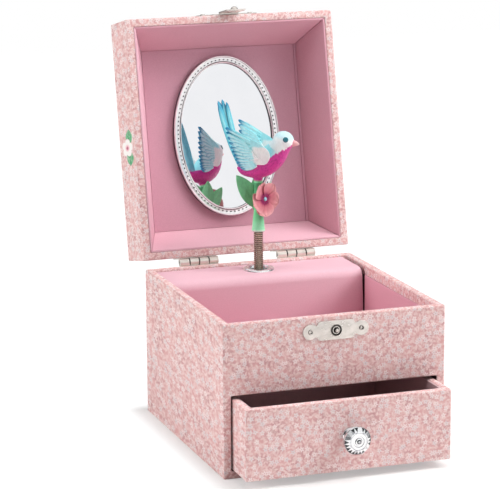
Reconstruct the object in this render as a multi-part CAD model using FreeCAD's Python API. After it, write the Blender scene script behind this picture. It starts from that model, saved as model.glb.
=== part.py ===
import FreeCAD, Part
import math
import os

os.makedirs("parts", exist_ok=True)
V = FreeCAD.Vector

# Outer sizes of the case (mm). The origin is the centre of the underside, front is -Y.
box_width = 120.0
box_depth = 132.0
base_height = 80.0
lid_height = 31.0
wall = 4.2
bottom_thickness = 4.0
lid_top_thickness = 3.2
rim_gap = 0.4
lining_thickness = 1.0
rim_turn_in = 5.0

# Poses that the solids are drawn in: lid open against its stop, drawer a little out.
lid_open_angle = 102.0
drawer_out = 20.0

# Clearances.
pin_clearance = 0.05
loose_gap = 0.3

# Drawer bay and compartment floor.
bay_top = 43.0
floor_thickness = 2.5
partition_thickness = 2.5

# Cover over the music movement.
cover_depth = 29.8
cover_drop = 1.3
cover_thickness = 2.0
cover_radius = 5.0
cover_end_gap = 0.5
spindle_setback = 11.8
grommet_radius = 8.75
grommet_bore = 5.2
grommet_wall = 0.75
grommet_height = 1.1

# Lid hinges.
hinge_rise = 1.5
hinge_centre = 28.5
hinge_length = 22.0
hinge_knuckles = 4
knuckle_radius = 2.1
knuckle_gap = 0.3
knuckle_back_gap = 0.4
knuckle_web = 0.9
hinge_pin_radius = 0.8
leaf_thickness = 0.8
leaf_height = 10.0
leaf_knuckle_gap = 0.45
nail_head = 1.3
nail_head_height = 0.7
nail_shank = 0.55

# Ball clasp.
clasp_width = 35.6
clasp_height = 10.0
clasp_middle = 19.0
clasp_thickness = 0.7
clasp_below_rim = 7.6
clasp_lobe = 4.0
stud_collar = 3.2
stud_collar_height = 0.3
stud_ball = 1.15
stud_neck = 0.75
stud_reach = 0.6
tongue_width = 11.0
tongue_thickness = 0.8
tongue_gap = 0.4
dome_gap = 0.4
dome_wall = 0.6
tongue_margin = 1.4
joggle_height = 1.2

# Sloping lining and mirror inside the lid.
tray_depth = 23.6
tray_side_inset = 10.0
tray_front_inset = 12.0
tray_back_inset = 10.6
tray_card = 1.3
tray_land = 1.2
mirror_half_width = 31.0
mirror_half_height = 45.0
frame_width = 4.4
frame_height = 4.0
frame_lip = 1.2
glass_thickness = 1.6

# Drawer.
drawer_side_gap = 0.8
drawer_top_gap = 1.8
drawer_front_thickness = 4.2
drawer_side_thickness = 3.6
drawer_bottom_thickness = 2.0
drawer_bottom_rise = 1.2
drawer_lining_thickness = 0.8
drawer_back_gap = 2.0
stop_pin_radius = 0.8
stop_pin_drop = 5.0
stop_pin_setback = 20.0
stop_pin_spread = 40.8

# Drawer knob.
knob_collar = 4.4
knob_neck = 2.6
knob_dish = 6.4
knob_stem_length = 7.6
crystal_radius = 7.3
crystal_face = 4.4
crystal_depth = 5.0
crystal_sides = 10
knob_screw_radius = 1.5
knob_screw_depth = 5.0

# Figure, its coil spring and the stem.
spring_wire = 0.35
spring_mean = 2.25
spring_pitch = 1.15
spring_turns = 20
spring_bend = 0.8
spring_peg = 1.45
ferrule_radius = 3.6
ferrule_wall_gap = 0.35
ferrule_overlap = 2.6
ferrule_length = 8.0
stem_radius = 2.3
stem_length = 27.0
leaf_length = 22.0
leaf_width = 9.4
leaf_plate = 1.2
blossom_rise = 18.4
blossom_petals = 5
petal_length = 9.4
petal_width = 7.8
petal_plate = 1.3
blossom_boss = 1.6
blossom_offset = 3.6
blossom_turn = 25.0
bird_heading = 34.0
bird_pitch = 38.0
bird_length = 33.0
bird_girth = 8.2
bird_head = 5.7
bird_beak = 5.0
tail_length = 41.5
tail_lean = 18.0
tail_turn = 45.0

# Music movement.
bed_thickness = 2.2
bed_left = 21.0
bed_right = 27.0
bed_low = 12.0
bed_high = 74.0
barrel_height = 26.0
barrel_radius = 11.5
barrel_wall = 0.9
barrel_bed_gap = 0.4
crown_teeth = 42
drive_module = 0.5
drive_teeth = 10
drive_tooth = 0.5
drive_addendum = 0.4
drive_dedendum = 0.6
crown_face = 2.0
arbor_radius = 1.5
arbor_hub = 2.2
coil_strip = 0.4
coil_pitch = 1.0
coil_start = 2.7
coil_half_turns = 13
pivot_radius = 1.0
bearing_height = 4.6
bearing_depth = 5.1
cylinder_radius = 6.5
cylinder_length = 23.5
cylinder_rise = 13.5
pin_radius = 0.25
pin_reach = 0.7
tracks = 18
pins_per_track = 3
gear_module = 0.4
gear_teeth = 36
gear_width = 1.6
gear_tooth = 0.42
gear_addendum = 0.32
gear_dedendum = 0.46
governor_teeth = 9
worm_wheel_teeth = 20
worm_wheel_width = 0.8
worm_wheel_tooth = 0.3
worm_wheel_tip = 4.4
worm_wheel_root = 3.5
worm_mean = 1.0
worm_wire = 0.28
worm_core = 0.65
worm_turns = 4
worm_centre = 5.2
fan_reach = 4.2
fan_length = 2.0
governor_arbor = 0.8
governor_pivot = 0.6
bridge_thickness = 1.6
comb_thickness = 0.6
comb_length = 16.4
comb_pin_gap = 0.4
comb_slot = 0.25
key_hub = 3.2
key_length = 6.2
key_span = 11.0
key_plate = 2.0
key_gap = 0.8
key_arbor_hole = 3.0

# Derived places.
front_y = -box_depth / 2
back_y = box_depth / 2
inner_x = box_width / 2 - wall
inner_front_y = front_y + wall
inner_back_y = back_y - wall
floor_top = bay_top + floor_thickness
cover_front_y = inner_back_y - cover_depth
cover_top = base_height - cover_drop
spindle_y = inner_back_y - spindle_setback
hinge_back = knuckle_radius + knuckle_back_gap
hinge_y = back_y + hinge_back
hinge_z = base_height + hinge_rise
lid_low = base_height + rim_gap
lid_high = lid_low + lid_height
lid_plate_low = lid_high - lid_top_thickness
panel_low = lid_low + tray_depth
bed_front_y = inner_back_y - bed_thickness


def box(x0, x1, y0, y1, z0, z1):
    return Part.makeBox(x1 - x0, y1 - y0, z1 - z0, V(x0, y0, z0))


def rod(radius, start, end):
    along = end.sub(start)
    return Part.makeCylinder(radius, along.Length, start, along)


def extruded(points, along):
    wire = Part.makePolygon(points + [points[0]])
    return Part.Face(wire).extrude(along)


def turned(profile, base, axis):
    # A solid of revolution: profile points are (radius, distance along the axis).
    points = [V(r, 0, h) for r, h in profile]
    wire = Part.makePolygon(points + [points[0]])
    solid = Part.Face(wire).revolve(V(0, 0, 0), V(0, 0, 1), 360)
    spin = FreeCAD.Rotation(V(0, 0, 1), axis)
    solid.Placement = FreeCAD.Placement(base, spin)
    return solid


def rivet(base, axis, head, head_height, shank, length):
    profile = [(0, -length), (shank, -length), (shank, 0), (head, 0)]
    profile += [(head * 0.86, head_height * 0.55), (head * 0.5, head_height * 0.92), (0, head_height)]
    return turned(profile, base, axis)


def oval(half_x, half_y, z0, z1):
    curve = Part.Ellipse(V(0, 0, z0), max(half_x, half_y), min(half_x, half_y))
    wire = Part.Wire([curve.toShape()])
    if half_y > half_x:
        wire.rotate(V(0, 0, z0), V(0, 0, 1), 90)
    return Part.Face(wire).extrude(V(0, 0, z1 - z0))


def tapered(low, high):
    # Block between two level rectangles, each given as x0, x1, y0, y1, z.
    rings = []
    for x0, x1, y0, y1, z in (low, high):
        rings.append(Part.makePolygon([V(x0, y0, z), V(x1, y0, z), V(x1, y1, z), V(x0, y1, z), V(x0, y0, z)]))
    return Part.makeLoft(rings, True, True)


def save(name, shape):
    solids = shape if isinstance(shape, list) else [shape]
    result = solids[0] if len(solids) == 1 else Part.makeCompound(solids)
    result.exportStep("parts/" + name + ".step")
    print(name, len(result.Solids), round(result.Volume, 1), result.isValid())


def opened(shape):
    shape.rotate(V(0, hinge_y, hinge_z), V(1, 0, 0), -lid_open_angle)
    return shape


def pulled(shape):
    shape.translate(V(0, -drawer_out, 0))
    return shape


# Places that panels share with the pieces fixed to them.
hinge_starts = [-hinge_centre - hinge_length / 2, hinge_centre - hinge_length / 2]
leaf_nail_x = [start + hinge_length * share for start in hinge_starts for share in (0.25, 0.75)]
case_nail_z = base_height - leaf_height * 0.6
lid_nail_z = hinge_z + leaf_height * 0.75
nail_length = wall * 0.8
clasp_z = base_height - clasp_below_rim
clasp_nail_x = [-(clasp_width / 2 - clasp_lobe), clasp_width / 2 - clasp_lobe]
lid_clasp_z = lid_low + clasp_height * 0.65
barrel_z = barrel_height
screw_places = [(-bed_left + 5, bed_low + 6), (bed_right - 5, bed_low + 6), (bed_right - 5, bed_high - 10)]
screw_shank = 1.3
screw_head = 2.6
screw_length = wall + bed_thickness * 0.7
stop_pin_y = front_y + stop_pin_setback


def drill(panel, places, radius, start, end):
    for a, b in places:
        panel = panel.cut(rod(radius, start(a, b), end(a, b)))
    return panel


# Case panels.
save("left_side", box(-box_width / 2, -inner_x, front_y, back_y, 0, base_height))
save("right_side", box(inner_x, box_width / 2, front_y, back_y, 0, base_height))
save("bottom_board", box(-inner_x, inner_x, front_y, inner_back_y, 0, bottom_thickness))

back = box(-inner_x, inner_x, inner_back_y, back_y, 0, base_height)
back = back.cut(rod(key_arbor_hole, V(0, inner_back_y - 1, barrel_z), V(0, back_y + 1, barrel_z)))
back = drill(back, screw_places, screw_shank + pin_clearance,
             lambda x, z: V(x, inner_back_y - 1, z), lambda x, z: V(x, back_y + 1, z))
back = drill(back, [(x, case_nail_z) for x in leaf_nail_x], nail_shank + pin_clearance,
             lambda x, z: V(x, back_y - nail_length - loose_gap, z), lambda x, z: V(x, back_y + 1, z))
save("back_panel", back)

front = box(-inner_x, inner_x, front_y, inner_front_y, bay_top, base_height)
front = drill(front, [(x, clasp_z) for x in clasp_nail_x], nail_shank + pin_clearance,
              lambda x, z: V(x, front_y + nail_length + loose_gap, z), lambda x, z: V(x, front_y - 1, z))
front = front.cut(rod(stud_neck + pin_clearance, V(0, front_y + nail_length + loose_gap, clasp_z),
                      V(0, front_y - 1, clasp_z)))
save("front_panel", front)

partition_back_y = cover_front_y + partition_thickness
floor_board = box(-inner_x, inner_x, inner_front_y, partition_back_y, bay_top, floor_top)
stop_places = [(-stop_pin_spread, stop_pin_y), (stop_pin_spread, stop_pin_y)]
floor_board = drill(floor_board, stop_places, stop_pin_radius + pin_clearance,
                    lambda x, y: V(x, y, bay_top - 1), lambda x, y: V(x, y, floor_top + 1))
save("compartment_floor", floor_board)
save("drawer_stop_pins", [rod(stop_pin_radius, V(x, y, bay_top - stop_pin_drop), V(x, y, floor_top))
                          for x, y in stop_places])
save("chamber_partition", box(-inner_x, inner_x, cover_front_y, partition_back_y, bottom_thickness, bay_top))

# Folded cover over the movement, with a rounded upper front edge.
cover_x = inner_x - cover_end_gap
mid = math.cos(math.pi / 4)
arc_y = cover_front_y + cover_radius
arc_z = cover_top - cover_radius
inside_radius = cover_radius - cover_thickness


def side_point(y, z):
    return V(-cover_x, y, z)


cover_edges = [
    Part.makeLine(side_point(cover_front_y, floor_top), side_point(cover_front_y, arc_z)),
    Part.Arc(side_point(cover_front_y, arc_z),
             side_point(arc_y - cover_radius * mid, arc_z + cover_radius * mid),
             side_point(arc_y, cover_top)).toShape(),
    Part.makeLine(side_point(arc_y, cover_top), side_point(inner_back_y, cover_top)),
    Part.makeLine(side_point(inner_back_y, cover_top), side_point(inner_back_y, cover_top - cover_thickness)),
    Part.makeLine(side_point(inner_back_y, cover_top - cover_thickness),
                  side_point(arc_y, cover_top - cover_thickness)),
    Part.Arc(side_point(arc_y, cover_top - cover_thickness),
             side_point(arc_y - inside_radius * mid, arc_z + inside_radius * mid),
             side_point(cover_front_y + cover_thickness, arc_z)).toShape(),
    Part.makeLine(side_point(cover_front_y + cover_thickness, arc_z),
                  side_point(cover_front_y + cover_thickness, floor_top)),
    Part.makeLine(side_point(cover_front_y + cover_thickness, floor_top), side_point(cover_front_y, floor_top)),
]
cover = Part.Face(Part.Wire(cover_edges)).extrude(V(2 * cover_x, 0, 0))
grommet_hole = grommet_bore + grommet_wall + pin_clearance
cover = cover.cut(rod(grommet_hole, V(0, spindle_y, cover_top - cover_thickness - 1),
                      V(0, spindle_y, cover_top + 1)))
save("movement_cover", cover)

grommet_outer = grommet_bore + grommet_wall
save("spindle_grommet", turned([
    (grommet_bore, -cover_thickness - 0.5), (grommet_outer, -cover_thickness - 0.5), (grommet_outer, 0),
    (grommet_radius, 0), (grommet_radius * 0.97, grommet_height * 0.45),
    (grommet_radius * 0.88, grommet_height * 0.9), (grommet_radius * 0.76, grommet_height),
    (grommet_bore + 0.6, grommet_height * 0.8), (grommet_bore, grommet_height * 0.3)],
    V(0, spindle_y, cover_top), V(0, 0, 1)))

# Lining tray of the upper compartment: floor, front and both sides in one folded card.
lining_high = base_height - rim_turn_in
lining = box(-inner_x, inner_x, inner_front_y, cover_front_y, floor_top, lining_high)
lining = lining.cut(box(-inner_x + lining_thickness, inner_x - lining_thickness,
                        inner_front_y + lining_thickness, cover_front_y + 1,
                        floor_top + lining_thickness, lining_high + 1))
save("compartment_lining", lining)

# Ball clasp on the front panel.


def clasp_outline(z, y0, y1):
    half = clasp_width / 2 - clasp_lobe
    plate = box(-clasp_middle / 2, clasp_middle / 2, y0, y1, z - clasp_height / 2, z + clasp_height / 2)
    plate = plate.fuse(box(-half, half, y0, y1, z - clasp_lobe * 0.7, z + clasp_lobe * 0.7))
    for x in (-half, half):
        plate = plate.fuse(rod(clasp_lobe, V(x, y0, z), V(x, y1, z)))
    return plate.removeSplitter()


clasp_face = front_y - clasp_thickness
clasp = clasp_outline(clasp_z, clasp_face, front_y)
ball_y = clasp_face - stud_collar_height - stud_reach
clasp = clasp.fuse(rod(stud_collar, V(0, clasp_face - stud_collar_height, clasp_z), V(0, clasp_face, clasp_z)))
clasp = clasp.fuse(rod(stud_neck, V(0, ball_y, clasp_z), V(0, front_y + nail_length, clasp_z)))
clasp = clasp.fuse(Part.makeSphere(stud_ball, V(0, ball_y, clasp_z)))
clasp = drill(clasp, [(x, clasp_z) for x in clasp_nail_x], nail_shank + pin_clearance,
              lambda x, z: V(x, front_y + 1, z), lambda x, z: V(x, clasp_face - 1, z))
save("clasp_plate", clasp)
save("clasp_nails", [rivet(V(x, clasp_face, clasp_z), V(0, -1, 0), nail_head, nail_head_height,
                           nail_shank, nail_length) for x in clasp_nail_x])

# Hinges: leaves nailed to the back, knuckles in turn on the case and on the lid.
knuckle_length = (hinge_length - knuckle_gap * (hinge_knuckles - 1)) / hinge_knuckles
knuckle_chord = math.sqrt(max(knuckle_radius ** 2 - (hinge_back - leaf_thickness) ** 2, 0.0))


def hinge_leaf(start, first, up):
    # One leaf with every second knuckle; up is +1 on the lid and -1 on the case.
    near = hinge_z + up * (knuckle_chord + leaf_knuckle_gap)
    far = hinge_z + up * (leaf_height + hinge_rise)
    low, high = min(near, far), max(near, far)
    leaf = box(start, start + hinge_length, back_y, back_y + leaf_thickness, low, high)
    for k in range(first, hinge_knuckles, 2):
        x0 = start + k * (knuckle_length + knuckle_gap)
        x1 = x0 + knuckle_length
        web = hinge_z + up * (knuckle_radius + knuckle_web)
        leaf = leaf.fuse(box(x0, x1, back_y + knuckle_back_gap, hinge_y, min(hinge_z, web), max(hinge_z, web)))
        leaf = leaf.fuse(rod(knuckle_radius, V(x0, hinge_y, hinge_z), V(x1, hinge_y, hinge_z)))
    bore = hinge_pin_radius + pin_clearance
    leaf = leaf.cut(rod(bore, V(start - 1, hinge_y, hinge_z), V(start + hinge_length + 1, hinge_y, hinge_z)))
    return leaf.removeSplitter()


def nail_holes(leaf, start, z):
    for x in leaf_nail_x:
        if start < x < start + hinge_length:
            leaf = leaf.cut(rod(nail_shank + pin_clearance, V(x, back_y - 1, z), V(x, back_y + 3, z)))
    return leaf


save("hinge_case_leaves", [nail_holes(hinge_leaf(s, 0, -1), s, case_nail_z) for s in hinge_starts])
save("hinge_lid_leaves", [opened(nail_holes(hinge_leaf(s, 1, 1), s, lid_nail_z)) for s in hinge_starts])
save("hinge_pins", [rod(hinge_pin_radius, V(s, hinge_y, hinge_z), V(s + hinge_length, hinge_y, hinge_z))
                    for s in hinge_starts])
leaf_face = back_y + leaf_thickness
save("hinge_case_nails", [rivet(V(x, leaf_face, case_nail_z), V(0, 1, 0), nail_head, nail_head_height,
                                nail_shank, nail_length) for x in leaf_nail_x])
save("hinge_lid_nails", [opened(rivet(V(x, leaf_face, lid_nail_z), V(0, 1, 0), nail_head, nail_head_height,
                                      nail_shank, nail_length)) for x in leaf_nail_x])

# Lid panels, drawn closed and then turned open about the hinge.
save("lid_top", opened(box(-box_width / 2, box_width / 2, front_y, back_y, lid_plate_low, lid_high)))
save("lid_left", opened(box(-box_width / 2, -inner_x, front_y, back_y, lid_low, lid_plate_low)))
save("lid_right", opened(box(inner_x, box_width / 2, front_y, back_y, lid_low, lid_plate_low)))
lid_front = box(-inner_x, inner_x, front_y, inner_front_y, lid_low, lid_plate_low)
lid_front = drill(lid_front, [(x, lid_clasp_z) for x in clasp_nail_x], nail_shank + pin_clearance,
                  lambda x, z: V(x, front_y + nail_length + loose_gap, z), lambda x, z: V(x, front_y - 1, z))
save("lid_front", opened(lid_front))
lid_back = box(-inner_x, inner_x, inner_back_y, back_y, lid_low, lid_plate_low)
lid_back = drill(lid_back, [(x, lid_nail_z) for x in leaf_nail_x], nail_shank + pin_clearance,
                 lambda x, z: V(x, back_y - nail_length - loose_gap, z), lambda x, z: V(x, back_y + 1, z))
save("lid_back", opened(lid_back))

# Card lining that slopes from the lid's rim in to the mirror panel, one wall to a side.
tray_low = lid_low + loose_gap
tray_x = inner_x - tray_side_inset
tray_front_y = inner_front_y + tray_front_inset
tray_back_y = inner_back_y - tray_back_inset
panel_x = tray_x + tray_card
panel_front_y = tray_front_y - tray_card
panel_back_y = tray_back_y + tray_card
save("lid_inner_panel", opened(box(-panel_x, panel_x, panel_front_y, panel_back_y, panel_low, lid_plate_low)))

rim_x = inner_x - lining_thickness
rim_front_y = inner_front_y + lining_thickness
rim_back_y = inner_back_y - lining_thickness
tray_outer = box(-inner_x, inner_x, inner_front_y, inner_back_y, tray_low, tray_low + tray_land).fuse(
    tapered((-inner_x, inner_x, inner_front_y, inner_back_y, tray_low + tray_land),
            (-panel_x, panel_x, panel_front_y, panel_back_y, panel_low)))
tray = tray_outer.cut(tapered((-rim_x, rim_x, rim_front_y, rim_back_y, tray_low),
                              (-tray_x, tray_x, tray_front_y, tray_back_y, panel_low)))
# Each mitre stands upright through one inside corner of the slope.
near = [V(-tray_x, tray_front_y, 0), V(tray_x, tray_front_y, 0), V(tray_x, tray_back_y, 0), V(-tray_x, tray_back_y, 0)]
rim = [V(-rim_x, rim_front_y, 0), V(rim_x, rim_front_y, 0), V(rim_x, rim_back_y, 0), V(-rim_x, rim_back_y, 0)]
far = [n.add(r.sub(n).multiply(2)) for n, r in zip(near, rim)]
for k, side in enumerate(("front", "right", "back", "left")):
    j = (k + 1) % 4
    slice_face = Part.Face(Part.makePolygon([near[k], far[k], far[j], near[j], near[k]]))
    slice_face.translate(V(0, 0, tray_low - 1))
    save("lid_lining_" + side, opened(tray.common(slice_face.extrude(V(0, 0, tray_depth + 2))).removeSplitter()))

# Oval mirror in its frame on the inner panel.
opening_x = mirror_half_width - frame_width
opening_y = mirror_half_height - frame_width
glass_x = opening_x + frame_lip
glass_y = opening_y + frame_lip
frame_low = panel_low - frame_height
save("mirror_glass", opened(oval(glass_x - loose_gap, glass_y - loose_gap, panel_low - glass_thickness, panel_low)))
frame = oval(mirror_half_width, mirror_half_height, frame_low, panel_low)
frame = frame.cut(oval(opening_x, opening_y, frame_low - 1, panel_low + 1))
frame = frame.cut(oval(glass_x, glass_y, panel_low - glass_thickness - loose_gap, panel_low + 1))
save("mirror_frame", opened(frame))

# Lid half of the clasp: nailed plate and a domed tongue that covers the ball.
lid_clasp = clasp_outline(lid_clasp_z, clasp_face, front_y)
tongue_back = clasp_face - tongue_gap
tongue_face = tongue_back - tongue_thickness
half_tongue = tongue_width / 2
dome_inner = stud_ball + dome_gap
dome_outer = dome_inner + dome_wall
tongue_low = clasp_z - dome_outer - tongue_margin
joggle_low = lid_clasp_z - clasp_height / 2
lid_clasp = lid_clasp.fuse(box(-half_tongue, half_tongue, tongue_face, front_y, joggle_low,
                               joggle_low + joggle_height))
tongue = box(-half_tongue, half_tongue, tongue_face, tongue_back, tongue_low, joggle_low + joggle_height)
dome = Part.makeSphere(dome_outer, V(0, ball_y, clasp_z))
dome = dome.cut(box(-dome_outer - 1, dome_outer + 1, tongue_back, tongue_back + 2 * dome_outer + 1,
                    clasp_z - dome_outer - 1, clasp_z + dome_outer + 1))
tongue = tongue.fuse(dome).cut(Part.makeSphere(dome_inner, V(0, ball_y, clasp_z)))
lid_clasp = lid_clasp.fuse(tongue)
lid_clasp = drill(lid_clasp, [(x, lid_clasp_z) for x in clasp_nail_x], nail_shank + pin_clearance,
                  lambda x, z: V(x, front_y + 1, z), lambda x, z: V(x, clasp_face - 1, z))
save("lid_clasp", opened(lid_clasp.removeSplitter()))
save("lid_clasp_nails", [opened(rivet(V(x, clasp_face, lid_clasp_z), V(0, -1, 0), nail_head, nail_head_height,
                                      nail_shank, nail_length)) for x in clasp_nail_x])

# Drawer, drawn closed and then pulled out.
drawer_x = inner_x - drawer_side_gap
drawer_low = bottom_thickness + loose_gap
drawer_high = bay_top - drawer_top_gap
drawer_inner_x = drawer_x - drawer_side_thickness
drawer_side_start = front_y + drawer_front_thickness
drawer_end = cover_front_y - drawer_back_gap
drawer_side_end = drawer_end - drawer_side_thickness
knob_z = (drawer_low + drawer_high) / 2
drawer_front = box(-drawer_x, drawer_x, front_y, drawer_side_start, drawer_low, drawer_high)
drawer_front = drawer_front.cut(rod(knob_screw_radius + pin_clearance, V(0, front_y - 1, knob_z),
                                    V(0, drawer_side_start + 1, knob_z)))
save("drawer_front", pulled(drawer_front))
save("drawer_left", pulled(box(-drawer_x, -drawer_inner_x, drawer_side_start, drawer_side_end,
                               drawer_low, drawer_high)))
save("drawer_right", pulled(box(drawer_inner_x, drawer_x, drawer_side_start, drawer_side_end,
                                drawer_low, drawer_high)))
save("drawer_back", pulled(box(-drawer_x, drawer_x, drawer_side_end, drawer_end, drawer_low, drawer_high)))
drawer_floor = drawer_low + drawer_bottom_rise
drawer_floor_top = drawer_floor + drawer_bottom_thickness
save("drawer_bottom", pulled(box(-drawer_inner_x, drawer_inner_x, drawer_side_start, drawer_side_end,
                                 drawer_floor, drawer_floor_top)))
tray = box(-drawer_inner_x, drawer_inner_x, drawer_side_start, drawer_side_end,
           drawer_floor_top, drawer_high - loose_gap)
tray = tray.cut(box(-drawer_inner_x + drawer_lining_thickness, drawer_inner_x - drawer_lining_thickness,
                    drawer_side_start + drawer_lining_thickness, drawer_side_end - drawer_lining_thickness,
                    drawer_floor_top + drawer_lining_thickness, drawer_high + 1))
knob_head = 3.0
tray = tray.cut(rod(knob_head + loose_gap, V(0, drawer_side_start - 1, knob_z),
                    V(0, drawer_side_start + 2, knob_z)))
save("drawer_lining", pulled(tray))

knob_axis = V(0, -1, 0)
knob_base = turned([(0, 0), (knob_collar, 0), (knob_collar, 1.0), (knob_neck, 2.0),
                    (knob_neck, knob_stem_length * 0.55), (knob_dish * 0.82, knob_stem_length * 0.84),
                    (knob_dish, knob_stem_length), (0, knob_stem_length)], V(0, front_y, knob_z), knob_axis)
knob_base = knob_base.cut(rod(knob_screw_radius + pin_clearance, V(0, front_y + 1, knob_z),
                              V(0, front_y - knob_screw_depth - loose_gap, knob_z)))
save("knob_base", pulled(knob_base))


def ring_polygon(radius, y, turn):
    points = []
    for k in range(crystal_sides):
        a = 2 * math.pi * (k + turn) / crystal_sides
        points.append(V(radius * math.cos(a), y, knob_z + radius * math.sin(a)))
    return Part.makePolygon(points + [points[0]])


crystal_back = front_y - knob_stem_length
crystal = Part.makeLoft([ring_polygon(knob_dish * 0.94, crystal_back, 0),
                         ring_polygon(crystal_radius, crystal_back - crystal_depth * 0.42, 0),
                         ring_polygon(crystal_face, crystal_back - crystal_depth, 0)], True, True)
save("knob_crystal", pulled(crystal))
save("knob_screw", pulled(rivet(V(0, drawer_side_start, knob_z), V(0, 1, 0), knob_head, 1.4,
                                knob_screw_radius, drawer_front_thickness + knob_screw_depth)))

# Coil spring: a pipe on biarcs, one pair of arcs for each quarter turn.


def arc_between(start, along, corner_distance, end):
    corner = start.add(V(along).multiply(corner_distance))
    middle = start.add(end).multiply(0.5)
    rise = corner.sub(middle)
    half = end.sub(start).Length / 2
    bend = math.atan2(rise.Length, half)
    sag = half * math.tan(bend / 2)
    top = middle.add(V(rise).normalize().multiply(sag))
    return Part.Arc(start, top, end).toShape()


def biarc(p0, t0, p1, t1):
    chord = p1.sub(p0)
    both = t0.add(t1)
    spread = 2 * (1 - t0.dot(t1))
    reach = chord.dot(both)
    d = (-reach + math.sqrt(reach * reach + spread * chord.dot(chord))) / spread
    joint = p0.add(V(t0).multiply(d)).add(p1.sub(V(t1).multiply(d))).multiply(0.5)
    back = V(t1).multiply(-1)
    return [arc_between(p0, t0, d, joint), arc_between(p1, back, d, joint)]


def helix_at(radius, pitch, angle):
    point = V(radius * math.cos(angle), radius * math.sin(angle), pitch * angle / (2 * math.pi))
    along = V(-radius * math.sin(angle), radius * math.cos(angle), pitch / (2 * math.pi))
    return point, along.normalize()


def coil(radius, pitch, turns, wire, bend):
    # A right-hand coil from z = 0; with a bend, both ends turn to run straight along the axis.
    edges = []
    first, first_along = helix_at(radius, pitch, 0)
    if bend:
        down = V(0, 0, -1)
        level = V(first_along.x, first_along.y, 0).normalize()
        foot = first.sub(V(level).multiply(bend)).add(V(down).multiply(bend))
        edges.append(Part.makeLine(foot.add(V(down).multiply(2 * wire)), foot))
        edges += biarc(foot, V(0, 0, 1), first, first_along)
    for k in range(turns * 4):
        p0, t0 = helix_at(radius, pitch, k * math.pi / 2)
        p1, t1 = helix_at(radius, pitch, (k + 1) * math.pi / 2)
        edges += biarc(p0, t0, p1, t1)
    last, last_along = helix_at(radius, pitch, turns * 2 * math.pi)
    if bend:
        up = V(0, 0, 1)
        level = V(last_along.x, last_along.y, 0).normalize()
        top = last.add(V(level).multiply(bend)).add(V(up).multiply(bend))
        edges += biarc(last, last_along, top, up)
        edges.append(Part.makeLine(top, top.add(V(up).multiply(2 * wire))))
    path = Part.Wire(Part.__sortEdges__(edges))
    if bend:
        start = foot.add(V(0, 0, -2 * wire))
        facing = V(0, 0, 1)
    else:
        start = first
        facing = first_along
    ring = Part.Wire([Part.makeCircle(wire, start, facing)])
    return path, path.makePipeShell([ring], True, False)


def least_self_gap(path, wire, skip):
    points = path.discretize(Distance=wire * 0.7)
    step = path.Length / (len(points) - 1)
    apart = int(skip / step)
    least = None
    for i in range(len(points)):
        for j in range(i + apart, len(points)):
            d = points[i].distanceToPoint(points[j])
            if least is None or d < least:
                least = d
    return least - 2 * wire


seat_z = cover_top - cover_thickness - 0.1
collar_height = 1.0
spring_foot = seat_z + pin_clearance
spring_start = spring_foot + 2 * spring_wire + spring_bend
spring_path, spring = coil(spring_mean, spring_pitch, spring_turns, spring_wire, spring_bend)
print("figure_spring least gap to itself", round(least_self_gap(spring_path, spring_wire, spring_mean * 4), 3))
spring.translate(V(0, spindle_y, spring_start))
save("figure_spring", spring)
spring_top = spring_start + spring_pitch * spring_turns + spring_bend + 2 * spring_wire

# Stem with its ferrule, leaves and the branch that carries the blossom.
ferrule_low = spring_top - ferrule_overlap
ferrule_roof = spring_top + 0.1
ferrule_hole = spring_mean + spring_wire + ferrule_wall_gap
stem_top = ferrule_low + stem_length
stem = turned([(0, 0), (ferrule_radius * 1.02, 0), (ferrule_radius * 1.04, 0.6), (ferrule_radius, 1.4),
               (ferrule_radius * 0.86, ferrule_length), (stem_radius, ferrule_length + 3.0),
               (stem_radius, stem_length), (0, stem_length)], V(0, spindle_y, ferrule_low), V(0, 0, 1))
stem = stem.cut(rod(ferrule_hole, V(0, spindle_y, ferrule_low - 1), V(0, spindle_y, ferrule_roof)))
stem = stem.fuse(rod(spring_peg, V(0, spindle_y, ferrule_low - 3), V(0, spindle_y, ferrule_roof + 0.5)))


def leaf_blade(fan, lean, rise, length, width):
    # One leaf of the fan behind the stem: fan tips it sideways, lean tips it back.
    base = V(0, 0, 0)
    tip = V(0, 0, length)
    left = Part.Arc(base, V(-width / 2, 0, length * 0.52), tip).toShape()
    right = Part.Arc(tip, V(width / 2, 0, length * 0.52), base).toShape()
    blade = Part.Face(Part.Wire([left, right])).extrude(V(0, leaf_plate, 0))
    blade.translate(V(0, -leaf_plate / 2, 0))
    blade.rotate(V(0, 0, 0), V(0, 1, 0), fan)
    blade.rotate(V(0, 0, 0), V(1, 0, 0), -lean)
    blade.translate(V(0, spindle_y + stem_radius * 0.4, ferrule_low + rise))
    return blade


for fan, lean, rise, share in ((2, 14, 10.0, 0.92), (32, 12, 11.0, 0.8), (-33, 12, 10.5, 1.0)):
    stem = stem.fuse(leaf_blade(fan, lean, rise, leaf_length * share, leaf_width * share))
branch_z = ferrule_low + blossom_rise
facing = V(math.sin(math.radians(blossom_turn)), -math.cos(math.radians(blossom_turn)), 0)
branch_end = V(0, spindle_y, branch_z).add(V(facing).multiply(blossom_offset))
stem = stem.fuse(rod(blossom_boss, V(0, spindle_y, branch_z), branch_end))
save("flower_stem", stem.removeSplitter())

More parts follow.
